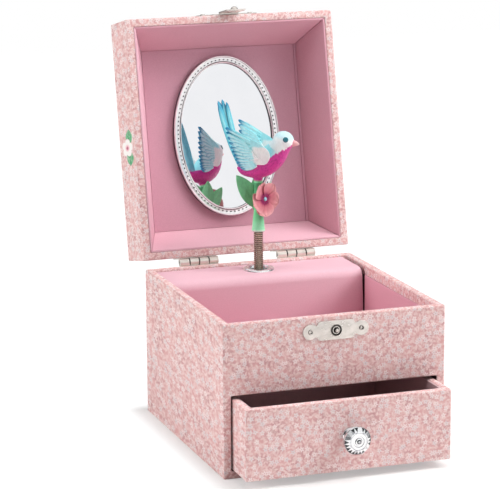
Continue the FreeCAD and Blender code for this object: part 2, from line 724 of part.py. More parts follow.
# Five-petal blossom, drawn facing +Z and then turned to its branch.
petal_shapes = []
for k in range(blossom_petals):
    petal = oval(petal_length / 2, petal_width / 2, 0, petal_plate)
    petal.translate(V(petal_length / 2 - 0.4, 0, 0))
    petal.rotate(V(0, 0, 0), V(0, 0, 1), 90 + 36 + 360.0 * k / blossom_petals)
    petal_shapes.append(petal)
blossom = petal_shapes[0].multiFuse(petal_shapes[1:] + [Part.makeCylinder(2.4, petal_plate)])
blossom = blossom.fuse(Part.makeCone(2.0, 1.0, 1.1, V(0, 0, petal_plate)))
blossom = blossom.removeSplitter()
blossom.rotate(V(0, 0, 0), V(1, 0, 0), 90)
blossom.rotate(V(0, 0, 0), V(0, 0, 1), blossom_turn)
blossom.translate(branch_end)
save("blossom", blossom)

# Bird: one moulding with body, head, beak, raised wings and tail. Drawn facing +X from its foot.
body_profile = [(0, -bird_length * 0.42), (1.6, -bird_length * 0.41), (bird_girth * 0.5, -bird_length * 0.28),
                (bird_girth * 0.86, -bird_length * 0.12), (bird_girth, bird_length * 0.05),
                (bird_girth * 0.93, bird_length * 0.2), (bird_girth * 0.72, bird_length * 0.36),
                (bird_girth * 0.5, bird_length * 0.5), (0, bird_length * 0.57)]
edge = Part.BSplineCurve()
edge.interpolate([V(r, 0, h) for r, h in body_profile])
outline = Part.Wire([edge.toShape(), Part.makeLine(V(0, 0, body_profile[-1][1]), V(0, 0, body_profile[0][1]))])
body = Part.Face(outline).revolve(V(0, 0, 0), V(0, 0, 1), 360)
body.rotate(V(0, 0, 0), V(0, 1, 0), 90 - bird_pitch)
body_rise = bird_girth + 1.6
body.translate(V(1.6, 0, body_rise))
head_at = V(14.8, 0, body_rise + 12.4)
bird = body.fuse(Part.makeSphere(bird_head, head_at))
beak_from = head_at.add(V(bird_head * 0.62, 0, -0.4))
bird = bird.fuse(Part.makeCone(2.3, 0.4, bird_beak, beak_from, V(1, 0, -0.12)))


def feather_plate(points, thickness, place):
    plate = extruded([V(x, -thickness / 2, z) for x, z in points], V(0, thickness, 0))
    plate.Placement = place
    return plate


wing_points = [(7.5, 1.0), (4.0, 6.5), (-6.0, 12.5), (-17.0, 20.0), (-15.8, 13.5), (-14.0, 7.0),
               (-11.0, 1.5), (-6.0, -4.0), (1.0, -5.0)]
for side in (-1, 1):
    turn = FreeCAD.Rotation(V(1, 0, 0), -side * 20).multiply(FreeCAD.Rotation(V(0, 0, 1), -side * 12))
    place = FreeCAD.Placement(V(2.0, side * 6.6, body_rise + 1.5), turn)
    bird = bird.fuse(feather_plate(wing_points, 2.2, place))
tail_points = [(2.2, -1.5), (-2.2, -1.5), (-4.3, tail_length - 3.0), (-1.8, tail_length), (1.8, tail_length),
               (4.3, tail_length - 3.0)]
tail_place = FreeCAD.Placement(V(-8.6, 0, body_rise - 5.0),
                               FreeCAD.Rotation(V(0, 1, 0), -tail_lean).multiply(
                                   FreeCAD.Rotation(V(0, 0, 1), 90 - tail_turn)))
bird = bird.fuse(feather_plate(tail_points, 1.8, tail_place))
bird = bird.fuse(rod(stem_radius, V(0, 0, 0), V(0, 0, body_rise)))
bird = bird.removeSplitter()
bird.rotate(V(0, 0, 0), V(0, 0, 1), -bird_heading)
bird.translate(V(0, spindle_y, stem_top))
save("bird", bird)

# Music movement: gear shapes.


def gear(teeth, pitch_radius, tooth, addendum, dedendum, width, phase):
    # Straight-flanked teeth round a disc, tooth thickness measured at the pitch circle.
    points = []
    root = pitch_radius - dedendum
    tip = pitch_radius + addendum
    for k in range(teeth):
        centre = phase + 2 * math.pi * k / teeth
        half = tooth / 2 / pitch_radius
        wide = half * 1.25
        narrow = half * 0.55
        for radius, offset in ((root, -wide), (tip, -narrow), (tip, narrow), (root, wide)):
            a = centre + offset
            points.append(V(radius * math.cos(a), radius * math.sin(a), 0))
    return extruded(points, V(0, 0, width))


drive_radius = drive_module * drive_teeth / 2
crown_radius = drive_module * crown_teeth / 2
crown_plane = spindle_y + drive_radius
drum_front = crown_plane + drive_dedendum
drum_back = bed_front_y - barrel_bed_gap
arbor_bore = arbor_radius + pin_clearance

drum = rod(barrel_radius, V(0, drum_front, barrel_z), V(0, drum_back, barrel_z))
drum_inside = barrel_radius - barrel_wall
drum = drum.cut(rod(drum_inside, V(0, drum_front + barrel_wall, barrel_z), V(0, drum_back - barrel_wall, barrel_z)))
drum = drum.cut(rod(arbor_bore, V(0, drum_front - 1, barrel_z), V(0, drum_back + 1, barrel_z)))
crown_tip = crown_plane - drive_addendum
teeth_solids = []
for k in range(crown_teeth):
    half_root = drive_tooth * 0.62
    half_tip = drive_tooth * 0.28
    z0 = crown_radius - crown_face / 2
    tooth = extruded([V(-half_root, drum_front, z0), V(half_root, drum_front, z0),
                      V(half_tip, crown_tip, z0), V(-half_tip, crown_tip, z0)], V(0, 0, crown_face))
    tooth.rotate(V(0, 0, 0), V(0, 1, 0), 360.0 * k / crown_teeth)
    tooth.translate(V(0, 0, barrel_z))
    teeth_solids.append(tooth)
save("spring_barrel", drum.multiFuse(teeth_solids).removeSplitter())

# Mainspring: a flat strip wound on half circles about two centres.
strip_step = coil_pitch / 2


def strip_arcs(start_radius):
    arcs = []
    radius = start_radius
    for k in range(coil_half_turns):
        centre = -strip_step / 2 if k % 2 == 0 else strip_step / 2
        sign = 1 if k % 2 == 0 else -1
        arcs.append((V(centre + sign * radius, 0, 0), V(centre, 0, sign * radius), V(centre - sign * radius, 0, 0)))
        radius += strip_step
    return arcs


inner_arcs = strip_arcs(coil_start)
outer_arcs = strip_arcs(coil_start + coil_strip)
strip_edges = [Part.Arc(a, b, c).toShape() for a, b, c in inner_arcs]
strip_edges.append(Part.makeLine(inner_arcs[-1][2], outer_arcs[-1][2]))
strip_edges += [Part.Arc(a, b, c).toShape() for a, b, c in outer_arcs]
strip_edges.append(Part.makeLine(outer_arcs[0][0], inner_arcs[0][0]))
strip_face = Part.Face(Part.Wire(Part.__sortEdges__(strip_edges)))
strip_low = drum_front + barrel_wall + loose_gap
strip_high = drum_back - barrel_wall - loose_gap
mainspring = strip_face.extrude(V(0, strip_high - strip_low, 0))
mainspring.translate(V(0, strip_low, barrel_z))
save("mainspring", mainspring)

arbor = rod(arbor_radius, V(0, drum_front - 0.5, barrel_z), V(0, back_y + key_gap + key_length * 0.6, barrel_z))
arbor = arbor.fuse(rod(arbor_hub, V(0, strip_low, barrel_z), V(0, strip_high, barrel_z)))
save("winding_arbor", arbor)
key_start = back_y + key_gap
key_end = key_start + key_length
key = rod(key_hub, V(0, key_start, barrel_z), V(0, key_end, barrel_z))
for side in (-1, 1):
    eye = rod(key_span * 0.42, V(side * key_span * 0.62, key_end + key_span * 0.2, barrel_z - key_plate / 2),
              V(side * key_span * 0.62, key_end + key_span * 0.2, barrel_z + key_plate / 2))
    key = key.fuse(eye)
key = key.fuse(box(-key_hub, key_hub, key_end - 1, key_end + key_span * 0.3,
                   barrel_z - key_plate / 2, barrel_z + key_plate / 2))
key = key.cut(rod(arbor_bore, V(0, key_start - 1, barrel_z),
                  V(0, back_y + key_gap + key_length * 0.6 + loose_gap, barrel_z)))
save("winding_key", key.removeSplitter())

# Cylinder on the spindle axis, its drive pinion, and the peg that carries the spring.
drive_low = barrel_z + crown_radius - crown_face / 2 - 0.2
drive_width = crown_face + 0.4
bearing_high = drive_low - 0.7
bearing_low = bearing_high - bearing_height
cylinder_low = barrel_z + cylinder_rise
cylinder_high = cylinder_low + cylinder_length
gear_low = cylinder_high + 0.6
gear_high = gear_low + gear_width
bridge_low = bed_high - bridge_thickness
bridge_high = bed_high


def at_spindle(shape, z):
    shape.translate(V(0, spindle_y, z))
    return shape


spindle = rod(arbor_radius, V(0, spindle_y, bearing_high + loose_gap), V(0, spindle_y, seat_z))
spindle = spindle.fuse(rod(pivot_radius, V(0, spindle_y, bearing_low), V(0, spindle_y, seat_z)))
spindle = spindle.fuse(rod(spring_mean + spring_wire, V(0, spindle_y, seat_z - collar_height),
                           V(0, spindle_y, seat_z)))
spindle = spindle.fuse(rod(spring_peg, V(0, spindle_y, seat_z), V(0, spindle_y, seat_z + 7.0)))
gap_phase = math.pi / 2 + math.pi / drive_teeth
pinion = gear(drive_teeth, drive_radius, drive_tooth, drive_addendum, drive_dedendum, drive_width, gap_phase)
spindle = spindle.fuse(at_spindle(pinion, drive_low))
save("cylinder_arbor", spindle.removeSplitter())

drum_pins = []
track_pitch = cylinder_length / (tracks + 1)
for k in range(tracks):
    for n in range(pins_per_track):
        a = 2 * math.pi * (n / pins_per_track + 0.381966 * k)
        z = cylinder_low + track_pitch * (k + 1)
        out = V(math.cos(a), math.sin(a), 0)
        axis_point = V(0, spindle_y, z)
        drum_pins.append(rod(pin_radius, axis_point.add(V(out).multiply(cylinder_radius - 1.0)),
                             axis_point.add(V(out).multiply(cylinder_radius + pin_reach))))
cylinder = rod(cylinder_radius, V(0, spindle_y, cylinder_low), V(0, spindle_y, cylinder_high))
cylinder = cylinder.cut(rod(arbor_bore, V(0, spindle_y, cylinder_low - 1), V(0, spindle_y, cylinder_high + 1)))
save("pinned_cylinder", cylinder.multiFuse(drum_pins))

gear_radius = gear_module * gear_teeth / 2
wheel = at_spindle(gear(gear_teeth, gear_radius, gear_tooth, gear_addendum, gear_dedendum, gear_width, math.pi),
                   gear_low)
wheel = wheel.cut(rod(arbor_bore, V(0, spindle_y, gear_low - 1), V(0, spindle_y, gear_high + 1)))
save("cylinder_gear", wheel)

# Governor: pinion and worm wheel on an upright arbor, worm and air fan on a level one.
small_radius = gear_module * governor_teeth / 2
governor_x = -(gear_radius + small_radius)
worm_z = gear_high + 1.7
worm_x = governor_x - worm_centre
plate_high = gear_low - 2.4
plate_low = plate_high - 1.2
governor = at_spindle(gear(governor_teeth, small_radius, gear_tooth, gear_addendum, gear_dedendum,
                           gear_width + 0.4, math.pi / governor_teeth), gear_low - 0.2)
governor = governor.fuse(rod(governor_arbor, V(0, spindle_y, plate_high + loose_gap),
                             V(0, spindle_y, bridge_low - loose_gap)))
governor = governor.fuse(rod(governor_pivot, V(0, spindle_y, plate_low), V(0, spindle_y, bridge_high)))
worm_pitch_radius = worm_centre - 1.2
worm_wheel = gear(worm_wheel_teeth, worm_pitch_radius, worm_wheel_tooth, worm_wheel_tip - worm_pitch_radius,
                  worm_pitch_radius - worm_wheel_root, worm_wheel_width, math.pi)
governor = governor.fuse(at_spindle(worm_wheel, worm_z - worm_wheel_width / 2))
governor.translate(V(governor_x, 0, 0))
save("governor_wheel", governor.removeSplitter())

worm_pitch = 2 * math.pi * worm_pitch_radius / worm_wheel_teeth
worm_path, thread = coil(worm_mean, worm_pitch, worm_turns, worm_wire, 0)
print("worm thread least gap to itself", round(least_self_gap(worm_path, worm_wire, worm_mean * 4), 3))
thread.translate(V(0, 0, -worm_pitch * (worm_turns / 2 - 0.5)))
thread.rotate(V(0, 0, 0), V(1, 0, 0), -90)
thread.translate(V(worm_x, spindle_y, worm_z))
front_upright = spindle_y - 10.0
rear_upright = spindle_y + 7.8
upright = 1.2
fan_shaft = rod(worm_core, V(worm_x, front_upright + upright + loose_gap, worm_z),
                V(worm_x, rear_upright - loose_gap, worm_z))
fan_shaft = fan_shaft.fuse(rod(governor_pivot, V(worm_x, front_upright, worm_z),
                               V(worm_x, rear_upright + upright, worm_z)))
fan_front = front_upright + upright + 0.8
fan_shaft = fan_shaft.fuse(rod(1.4, V(worm_x, fan_front, worm_z), V(worm_x, fan_front + fan_length, worm_z)))
fan_shaft = fan_shaft.fuse(box(worm_x - fan_reach, worm_x + fan_reach, fan_front, fan_front + fan_length,
                               worm_z - 0.25, worm_z + 0.25))
save("governor_fan", [fan_shaft.removeSplitter(), thread])

bracket_right = -(cylinder_radius + pin_reach + 0.7)
bracket = box(worm_x - 5.8, bracket_right, front_upright, bed_front_y, plate_low, plate_high)
for y0 in (front_upright, rear_upright):
    bracket = bracket.fuse(box(worm_x - 2.8, worm_x + 2.8, y0, y0 + upright, plate_high, worm_z + 2.6))
bracket = bracket.cut(rod(governor_pivot + pin_clearance, V(worm_x, front_upright - 1, worm_z),
                          V(worm_x, rear_upright + upright + 1, worm_z)))
bracket = bracket.cut(rod(governor_pivot + pin_clearance, V(governor_x, spindle_y, plate_low - 1),
                          V(governor_x, spindle_y, plate_high + 1)))
save("governor_bracket", bracket.removeSplitter())

bridge = box(governor_x - 3, 7, spindle_y - 7, bed_front_y, bridge_low, bridge_high)
bridge = bridge.cut(rod(arbor_bore, V(0, spindle_y, bridge_low - 1), V(0, spindle_y, bridge_high + 1)))
bridge = bridge.cut(rod(governor_pivot + pin_clearance, V(governor_x, spindle_y, bridge_low - 1),
                        V(governor_x, spindle_y, bridge_high + 1)))
save("top_bridge", bridge)

# Cast bedplate with the comb seat and the lower bearing of the cylinder.
comb_start = cylinder_radius + pin_reach + comb_pin_gap
comb_end = comb_start + comb_length
comb_low = cylinder_low + track_pitch / 2
comb_high = comb_low + track_pitch * tracks
comb_back = spindle_y + comb_thickness / 2
comb_front = spindle_y - comb_thickness / 2
comb_seat = comb_start + comb_length * 0.6
bed = box(-bed_left, bed_right, bed_front_y, inner_back_y, bed_low, bed_high)
bed = bed.fuse(box(comb_seat, comb_end + 1, comb_back, bed_front_y, comb_low - 0.4, comb_high + 0.4))
post = barrel_radius + 1.7
bearing_front = spindle_y + 1.6 - bearing_depth
bearing = box(-post - 2.8, post + 2.8, bearing_front, bed_front_y, bearing_low, bearing_high)
bearing = bearing.cut(box(-post, post, bearing_front + bearing_depth, bed_front_y, bearing_low - 1, bearing_high + 1))
bed = bed.fuse(bearing)
bed = bed.cut(rod(pivot_radius + pin_clearance, V(0, spindle_y, bearing_low - 1), V(0, spindle_y, bearing_high + 1)))
bed = bed.cut(rod(arbor_bore, V(0, bed_front_y - 1, barrel_z), V(0, inner_back_y + 1, barrel_z)))
bed = drill(bed, screw_places, screw_shank + pin_clearance,
            lambda x, z: V(x, back_y - screw_length - loose_gap, z), lambda x, z: V(x, inner_back_y + 1, z))
comb_screw_z = [comb_low + (comb_high - comb_low) * share for share in (0.2, 0.5, 0.8)]
comb_screw_x = (comb_seat + comb_end) / 2
comb_screw = 0.8
comb_screw_length = comb_thickness + 3.0
bed = drill(bed, [(comb_screw_x, z) for z in comb_screw_z], comb_screw + pin_clearance,
            lambda x, z: V(x, comb_front - 1, z),
            lambda x, z: V(x, comb_front + comb_screw_length + loose_gap, z))
save("movement_bedplate", bed.removeSplitter())
save("movement_screws", [rivet(V(x, back_y, z), V(0, 1, 0), screw_head, 1.2, screw_shank, screw_length)
                         for x, z in screw_places])

comb = box(comb_start, comb_end, comb_front, comb_back, comb_low, comb_high)
for k in range(1, tracks):
    z = comb_low + track_pitch * k
    depth = comb_length * (0.34 + 0.18 * k / tracks)
    comb = comb.cut(box(comb_start - 1, comb_start + depth, comb_front - 1, comb_back + 1,
                        z - comb_slot / 2, z + comb_slot / 2))
comb = drill(comb, [(comb_screw_x, z) for z in comb_screw_z], comb_screw + pin_clearance,
             lambda x, z: V(x, comb_front - 1, z), lambda x, z: V(x, comb_back + 1, z))
save("music_comb", comb)
save("comb_screws", [rivet(V(comb_screw_x, comb_front, z), V(0, -1, 0), 1.6, 0.9, comb_screw, comb_screw_length)
                     for z in comb_screw_z])
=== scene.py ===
import random
from math import atan2, cos, exp, hypot, pi, radians, sin, sqrt

import bmesh
import bpy
from mathutils import Matrix, Vector, noise


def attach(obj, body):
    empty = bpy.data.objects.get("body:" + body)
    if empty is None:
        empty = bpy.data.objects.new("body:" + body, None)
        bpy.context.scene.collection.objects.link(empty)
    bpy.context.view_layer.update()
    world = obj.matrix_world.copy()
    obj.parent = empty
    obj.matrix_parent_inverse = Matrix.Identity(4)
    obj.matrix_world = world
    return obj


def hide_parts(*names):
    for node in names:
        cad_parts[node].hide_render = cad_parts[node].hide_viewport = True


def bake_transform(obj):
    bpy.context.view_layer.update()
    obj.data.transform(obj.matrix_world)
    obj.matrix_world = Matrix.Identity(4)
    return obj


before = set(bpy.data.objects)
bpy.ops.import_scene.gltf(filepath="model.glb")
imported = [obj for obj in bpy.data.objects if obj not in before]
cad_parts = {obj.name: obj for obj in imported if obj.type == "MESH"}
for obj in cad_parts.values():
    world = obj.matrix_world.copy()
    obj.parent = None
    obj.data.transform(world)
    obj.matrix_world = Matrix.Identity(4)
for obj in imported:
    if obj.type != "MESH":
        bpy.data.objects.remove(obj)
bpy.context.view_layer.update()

scene = bpy.context.scene
mm = 0.001

# places shared by several pieces, in millimetres
caseSize = {"halfX": 60.0, "halfY": 66.0, "high": 80.0, "wall": 4.2, "bottom": 4.0,
            "bayTop": 43.0, "floorTop": 45.5, "keyHoleZ": 26.0, "keyHoleRadius": 3.0, "skin": 2.0}
lidSize = {"low": 80.4, "high": 111.4, "plateLow": 108.2, "panelLow": 104.0,
           "hingeY": 68.5, "hingeZ": 81.5, "openAngle": 102.0, "flatFace": 350.0, "sprigSkin": 0.5}
drawerSize = {"halfX": 55.0, "low": 4.3, "high": 41.2, "frontY": -66.0, "frontThick": 4.2,
              "sideThick": 3.6, "backY": 30.0, "out": 20.0, "bottomLow": 5.5, "bottomHigh": 7.5,
              "liningThick": 0.8, "liningHigh": 40.9, "soft": 0.8, "liningSoft": 0.25}
spindle = {"y": 50.0, "coverTop": 78.7, "coverFront": 32.0, "coverBack": 61.8}
innerX, innerY = caseSize["halfX"] - caseSize["wall"], caseSize["halfY"] - caseSize["wall"]
past = 5.0  # how far a cutting shape reaches past a face


def turned(degrees, axis):
    return Matrix.Rotation(radians(degrees), 4, axis)


def scaled(matrix):
    # a placing matrix in millimetres, for meshes in metres
    out = matrix.copy()
    out.translation = out.translation * mm
    return out


hingeLine = Vector((0, lidSize["hingeY"], lidSize["hingeZ"]))
openLid = scaled(Matrix.Translation(hingeLine) @ turned(-lidSize["openAngle"], "X")
                 @ Matrix.Translation(-hingeLine))
restMoves = {"lid": openLid, "drawer": scaled(Matrix.Translation((0, -drawerSize["out"], 0)))}


# material helpers

def startMaterial(name):
    mat = bpy.data.materials.new(name)
    mat.use_nodes = True
    tree = mat.node_tree
    tree.nodes.clear()
    out = tree.nodes.new("ShaderNodeOutputMaterial")
    shader = tree.nodes.new("ShaderNodeBsdfPrincipled")
    tree.links.new(shader.outputs[0], out.inputs[0])
    return mat, tree, shader


def plug(tree, socket, value):
    if isinstance(value, bpy.types.NodeSocket):
        tree.links.new(value, socket)
    else:
        socket.default_value = value


def addNode(tree, kind, values=None, **settings):
    node = tree.nodes.new(kind)
    for key, value in settings.items():
        setattr(node, key, value)
    for key, value in (values or {}).items():
        plug(tree, node.inputs[key], value)
    return node


def sums(tree, operation, a, b=0.0, c=0.0):
    return addNode(tree, "ShaderNodeMath", {0: a, 1: b, 2: c}, operation=operation).outputs[0]


def lengthOf(tree, x, y):
    squares = sums(tree, "ADD", sums(tree, "MULTIPLY", x, x), sums(tree, "MULTIPLY", y, y))
    return sums(tree, "SQRT", squares)


def splitXyz(tree, vector):
    return addNode(tree, "ShaderNodeSeparateXYZ", {0: vector}).outputs


def meshColour(tree, name, part="Color"):
    return addNode(tree, "ShaderNodeAttribute", attribute_name=name).outputs[part]


def rise(tree, value, low, high, start=0.0, end=1.0):
    return addNode(tree, "ShaderNodeMapRange",
                   {"Value": value, "From Min": low, "From Max": high, "To Min": start, "To Max": end},
                   interpolation_type="SMOOTHSTEP").outputs[0]


def blendColour(tree, factor, a, b, mode="MIX"):
    node = tree.nodes.new("ShaderNodeMix")
    node.data_type = "RGBA"
    node.blend_type = mode
    for index, value in ((0, factor), (6, a), (7, b)):
        if not isinstance(value, bpy.types.NodeSocket) and index:
            value = (*value[:3], 1.0)
        plug(tree, node.inputs[index], value)
    return node.outputs[2]


def blendNumber(tree, factor, a, b):
    return addNode(tree, "ShaderNodeMix", {0: factor, 2: a, 3: b}).outputs[0]


def speckle(tree, where, scale, detail=3.0, roughness=0.55):
    return addNode(tree, "ShaderNodeTexNoise",
                   {"Vector": where, "Scale": scale, "Detail": detail, "Roughness": roughness}).outputs[0]


def objectPlace(tree, stretch=(1, 1, 1)):
    where = addNode(tree, "ShaderNodeTexCoord").outputs["Object"]
    if stretch == (1, 1, 1):
        return where
    return addNode(tree, "ShaderNodeMapping", {"Vector": where, "Scale": stretch}).outputs[0]


def dressed(tree, shader, base, rough, metal=0.0, specular=0.5, coat=0.0):
    for name, value in (("Base Color", base), ("Roughness", rough), ("Metallic", metal),
                        ("Specular IOR Level", specular), ("Coat Weight", coat)):
        plug(tree, shader.inputs[name], value)


def bumpFrom(tree, shader, height, strength, distance):
    bump = addNode(tree, "ShaderNodeBump", {"Strength": strength, "Distance": distance, "Height": height})
    tree.links.new(bump.outputs[0], shader.inputs["Normal"])


# papers and boards

floralPrint = {"ground": (0.735, 0.405, 0.400), "groundDeep": (0.600, 0.320, 0.325),
               "leaf": (0.800, 0.555, 0.545), "leafPale": (0.860, 0.640, 0.630),
               "flower": (0.900, 0.735, 0.730), "flowerGrey": (0.745, 0.650, 0.665),
               "leafCells": (2.0, 2.5), "leafLong": 1.15, "leafWide": 0.50, "flowerCell": 3.3, "flowerSize": 1.45,
               "softness": 0.13, "roughLow": 0.52, "roughHigh": 0.68, "wear": 0.35, "worn": (0.90, 0.79, 0.75),
               "caseStretch": (2.2, 1.2), "lidStretch": (1.2, 1.9)}  # the print's stretch on the left walls
sprigPrint = {"petal": (0.93, 0.90, 0.88), "petalPink": (0.86, 0.42, 0.50), "eye": (0.42, 0.02, 0.12),
              "leaf": (0.10, 0.42, 0.20), "leafDeep": (0.05, 0.26, 0.13),
              "centreY": 3.5, "centreZ": 96.0, "tall": 10.8, "wide": 5.0,
              "leafLong": 4.4, "leafAt": 5.7, "leafWide": 6.4, "leafDrop": 4.2}


def scattered(tree, spot, cell, shift):
    # one loose motif to each cell: its own turned coordinates and two chance values
    moved = addNode(tree, "ShaderNodeMapping", {"Vector": spot, "Location": shift}).outputs[0]
    cells = addNode(tree, "ShaderNodeTexVoronoi", {"Vector": moved, "Scale": 1.0 / cell, "Randomness": 0.85},
                    voronoi_dimensions="2D", feature="F1")
    local = addNode(tree, "ShaderNodeVectorMath", {0: moved, 1: cells.outputs["Position"]},
                    operation="SUBTRACT").outputs[0]
    chance = addNode(tree, "ShaderNodeSeparateColor", {0: cells.outputs["Color"]})
    turn = sums(tree, "MULTIPLY", chance.outputs[0], 2 * pi)
    spun = addNode(tree, "ShaderNodeVectorRotate", {"Vector": local, "Angle": turn}, rotation_type="Z_AXIS")
    parts = splitXyz(tree, spun.outputs[0])
    return parts[0], parts[1], chance.outputs[1], chance.outputs[2]


def leafMask(tree, x, y):
    p = floralPrint
    along = sums(tree, "DIVIDE", x, p["leafLong"])
    bow = sums(tree, "MULTIPLY_ADD", sums(tree, "MULTIPLY", along, along), -p["leafWide"], p["leafWide"])
    return rise(tree, sums(tree, "SUBTRACT", bow, sums(tree, "ABSOLUTE", y)), -p["softness"], p["softness"])


def flowerMask(tree, x, y):
    p = floralPrint
    out = lengthOf(tree, x, y)
    wave = sums(tree, "COSINE", sums(tree, "MULTIPLY", sums(tree, "ARCTAN2", y, x), 5.0))
    edge = sums(tree, "MULTIPLY", sums(tree, "MULTIPLY_ADD", wave, 0.26, 0.74), p["flowerSize"])
    return rise(tree, sums(tree, "SUBTRACT", edge, out), -p["softness"], p["softness"]), out


def sprigColours(tree, spot, colour):
    # one small white flower with two leaves on the lid's left wall
    p = sprigPrint
    u0 = -caseSize["halfX"] - (p["centreY"] + caseSize["halfY"])
    across, high = floralPrint["lidStretch"]
    local = addNode(tree, "ShaderNodeMapping", {"Vector": spot, "Scale": (across, high, 1),
                                                "Location": (-u0, -p["centreZ"], 0)}).outputs[0]
    x, y = splitXyz(tree, local)[:2]
    for side in (-1, 1):  # leaves first, petals over them
        lx = sums(tree, "DIVIDE", sums(tree, "SUBTRACT", x, side * p["leafAt"]), p["leafLong"])
        ly = sums(tree, "DIVIDE", sums(tree, "SUBTRACT", y, -p["leafDrop"]), p["leafWide"])
        bow = sums(tree, "SUBTRACT", 1.0, sums(tree, "MULTIPLY", lx, lx))
        leaf = rise(tree, sums(tree, "SUBTRACT", bow, sums(tree, "ABSOLUTE", ly)), -0.04, 0.04)
        vein = rise(tree, sums(tree, "ABSOLUTE", ly), 0.04, 0.14)
        green = blendColour(tree, vein, p["leafDeep"], p["leaf"])
        colour = blendColour(tree, leaf, colour, green)
    sx = sums(tree, "DIVIDE", x, p["wide"])
    sy = sums(tree, "DIVIDE", y, p["tall"])
    out = lengthOf(tree, sx, sy)
    around = sums(tree, "ARCTAN2", sy, sx)
    wave = sums(tree, "COSINE", sums(tree, "MULTIPLY_ADD", around, 2.5, 0.3))
    wave = sums(tree, "POWER", sums(tree, "ABSOLUTE", wave), 0.6)
    edge = sums(tree, "MULTIPLY_ADD", wave, 0.3, 0.7)
    petals = rise(tree, sums(tree, "SUBTRACT", edge, out), -0.02, 0.02)
    blush = rise(tree, out, 0.16, 0.5, 1.0, 0.0)
    rim = rise(tree, sums(tree, "SUBTRACT", edge, out), 0.0, 0.10, 0.5, 0.0)
    white = blendColour(tree, sums(tree, "MAXIMUM", blush, rim), p["petal"], p["petalPink"])
    white = blendColour(tree, rise(tree, out, 0.13, 0.2, 1.0, 0.0), white, p["eye"])
    return blendColour(tree, petals, colour, white)


def floralPaper(name, withSprig=False):
    p = floralPrint
    mat, tree, shader = startMaterial(name)
    uv = addNode(tree, "ShaderNodeUVMap", uv_map="wrap").outputs[0]
    spot = addNode(tree, "ShaderNodeMapping", {"Vector": uv, "Scale": (1000, 1000, 1000)}).outputs[0]
    drift = speckle(tree, spot, 0.11, 3)
    colour = blendColour(tree, rise(tree, drift, 0.4, 0.68), p["ground"], p["groundDeep"])
    for cell, shift in zip(p["leafCells"], ((17.3, 5.1, 0), (3.7, 41.9, 0))):
        x, y, tint, fade = scattered(tree, spot, cell, shift)
        tone = blendColour(tree, tint, p["leaf"], p["leafPale"])
        share = sums(tree, "MULTIPLY", leafMask(tree, x, y), sums(tree, "MULTIPLY_ADD", fade, 0.45, 0.55))
        colour = blendColour(tree, share, colour, tone)
    x, y, tint, fade = scattered(tree, spot, p["flowerCell"], (60.2, 8.8, 0))
    petals, out = flowerMask(tree, x, y)
    tone = blendColour(tree, tint, p["flower"], p["flowerGrey"])
    tone = blendColour(tree, rise(tree, out, 0.18, 0.36, 0.75, 0.0), tone, p["groundDeep"])
    chosen = sums(tree, "MULTIPLY", petals, sums(tree, "GREATER_THAN", fade, 0.25))
    colour = blendColour(tree, chosen, colour, tone)
    fleck = speckle(tree, spot, 2.6, 2)
    colour = blendColour(tree, rise(tree, fleck, 0.3, 0.75, 0.0, 0.08), colour, p["groundDeep"])
    if withSprig:
        colour = sprigColours(tree, spot, colour)
    edge = meshColour(tree, "edgeWear", "Fac")
    rub = sums(tree, "MULTIPLY", edge, rise(tree, speckle(tree, spot, 0.5, 4), 0.42, 0.66, 0.0, p["wear"]))
    colour = blendColour(tree, rub, colour, p["worn"])
    fibre = speckle(tree, spot, 5.0, 4, 0.7)
    dressed(tree, shader, colour, rise(tree, fibre, 0.2, 0.8, p["roughLow"], p["roughHigh"]), specular=0.3)
    bumpFrom(tree, shader, sums(tree, "MULTIPLY_ADD", drift, 0.6, fibre), 0.22, 0.00012)
    return mat


def plainPaper(name, tone, deep, scale=1.0, bump=0.3):
    mat, tree, shader = startMaterial(name)
    where = objectPlace(tree)
    fibre = speckle(tree, where, 1500 * scale, 5, 0.7)
    cloud = speckle(tree, where, 38 * scale, 3)
    colour = blendColour(tree, rise(tree, fibre, 0.28, 0.74), deep, tone)
    colour = blendColour(tree, rise(tree, cloud, 0.35, 0.75, 0.0, 0.28), colour, deep)
    dressed(tree, shader, colour, rise(tree, fibre, 0.2, 0.8, 0.66, 0.84), specular=0.25)
    bumpFrom(tree, shader, fibre, bump, 0.00010)
    return mat


# metals, glass and paint

def plated(name, bright, dull, roughLow, roughHigh, scratch=0.12, metal=1.0):
    mat, tree, shader = startMaterial(name)
    cloud = speckle(tree, objectPlace(tree), 190, 4)
    lines = speckle(tree, objectPlace(tree, (1, 14, 3)), 420, 3)
    colour = blendColour(tree, rise(tree, cloud, 0.35, 0.72), bright, dull)
    rubbed = sums(tree, "MULTIPLY_ADD", lines, 0.45, sums(tree, "MULTIPLY", cloud, 0.55))
    dressed(tree, shader, colour, rise(tree, rubbed, 0.3, 0.72, roughLow, roughHigh), metal)
    bumpFrom(tree, shader, lines, scratch, 0.00004)
    return mat


def silveredGlass():
    mat, tree, shader = startMaterial("silveredGlass")
    cloud = speckle(tree, objectPlace(tree), 60, 3)
    colour = blendColour(tree, rise(tree, cloud, 0.3, 0.8), (0.870, 0.876, 0.900), (0.845, 0.852, 0.880))
    dressed(tree, shader, colour, rise(tree, cloud, 0.4, 0.8, 0.012, 0.03), 1.0)
    return mat


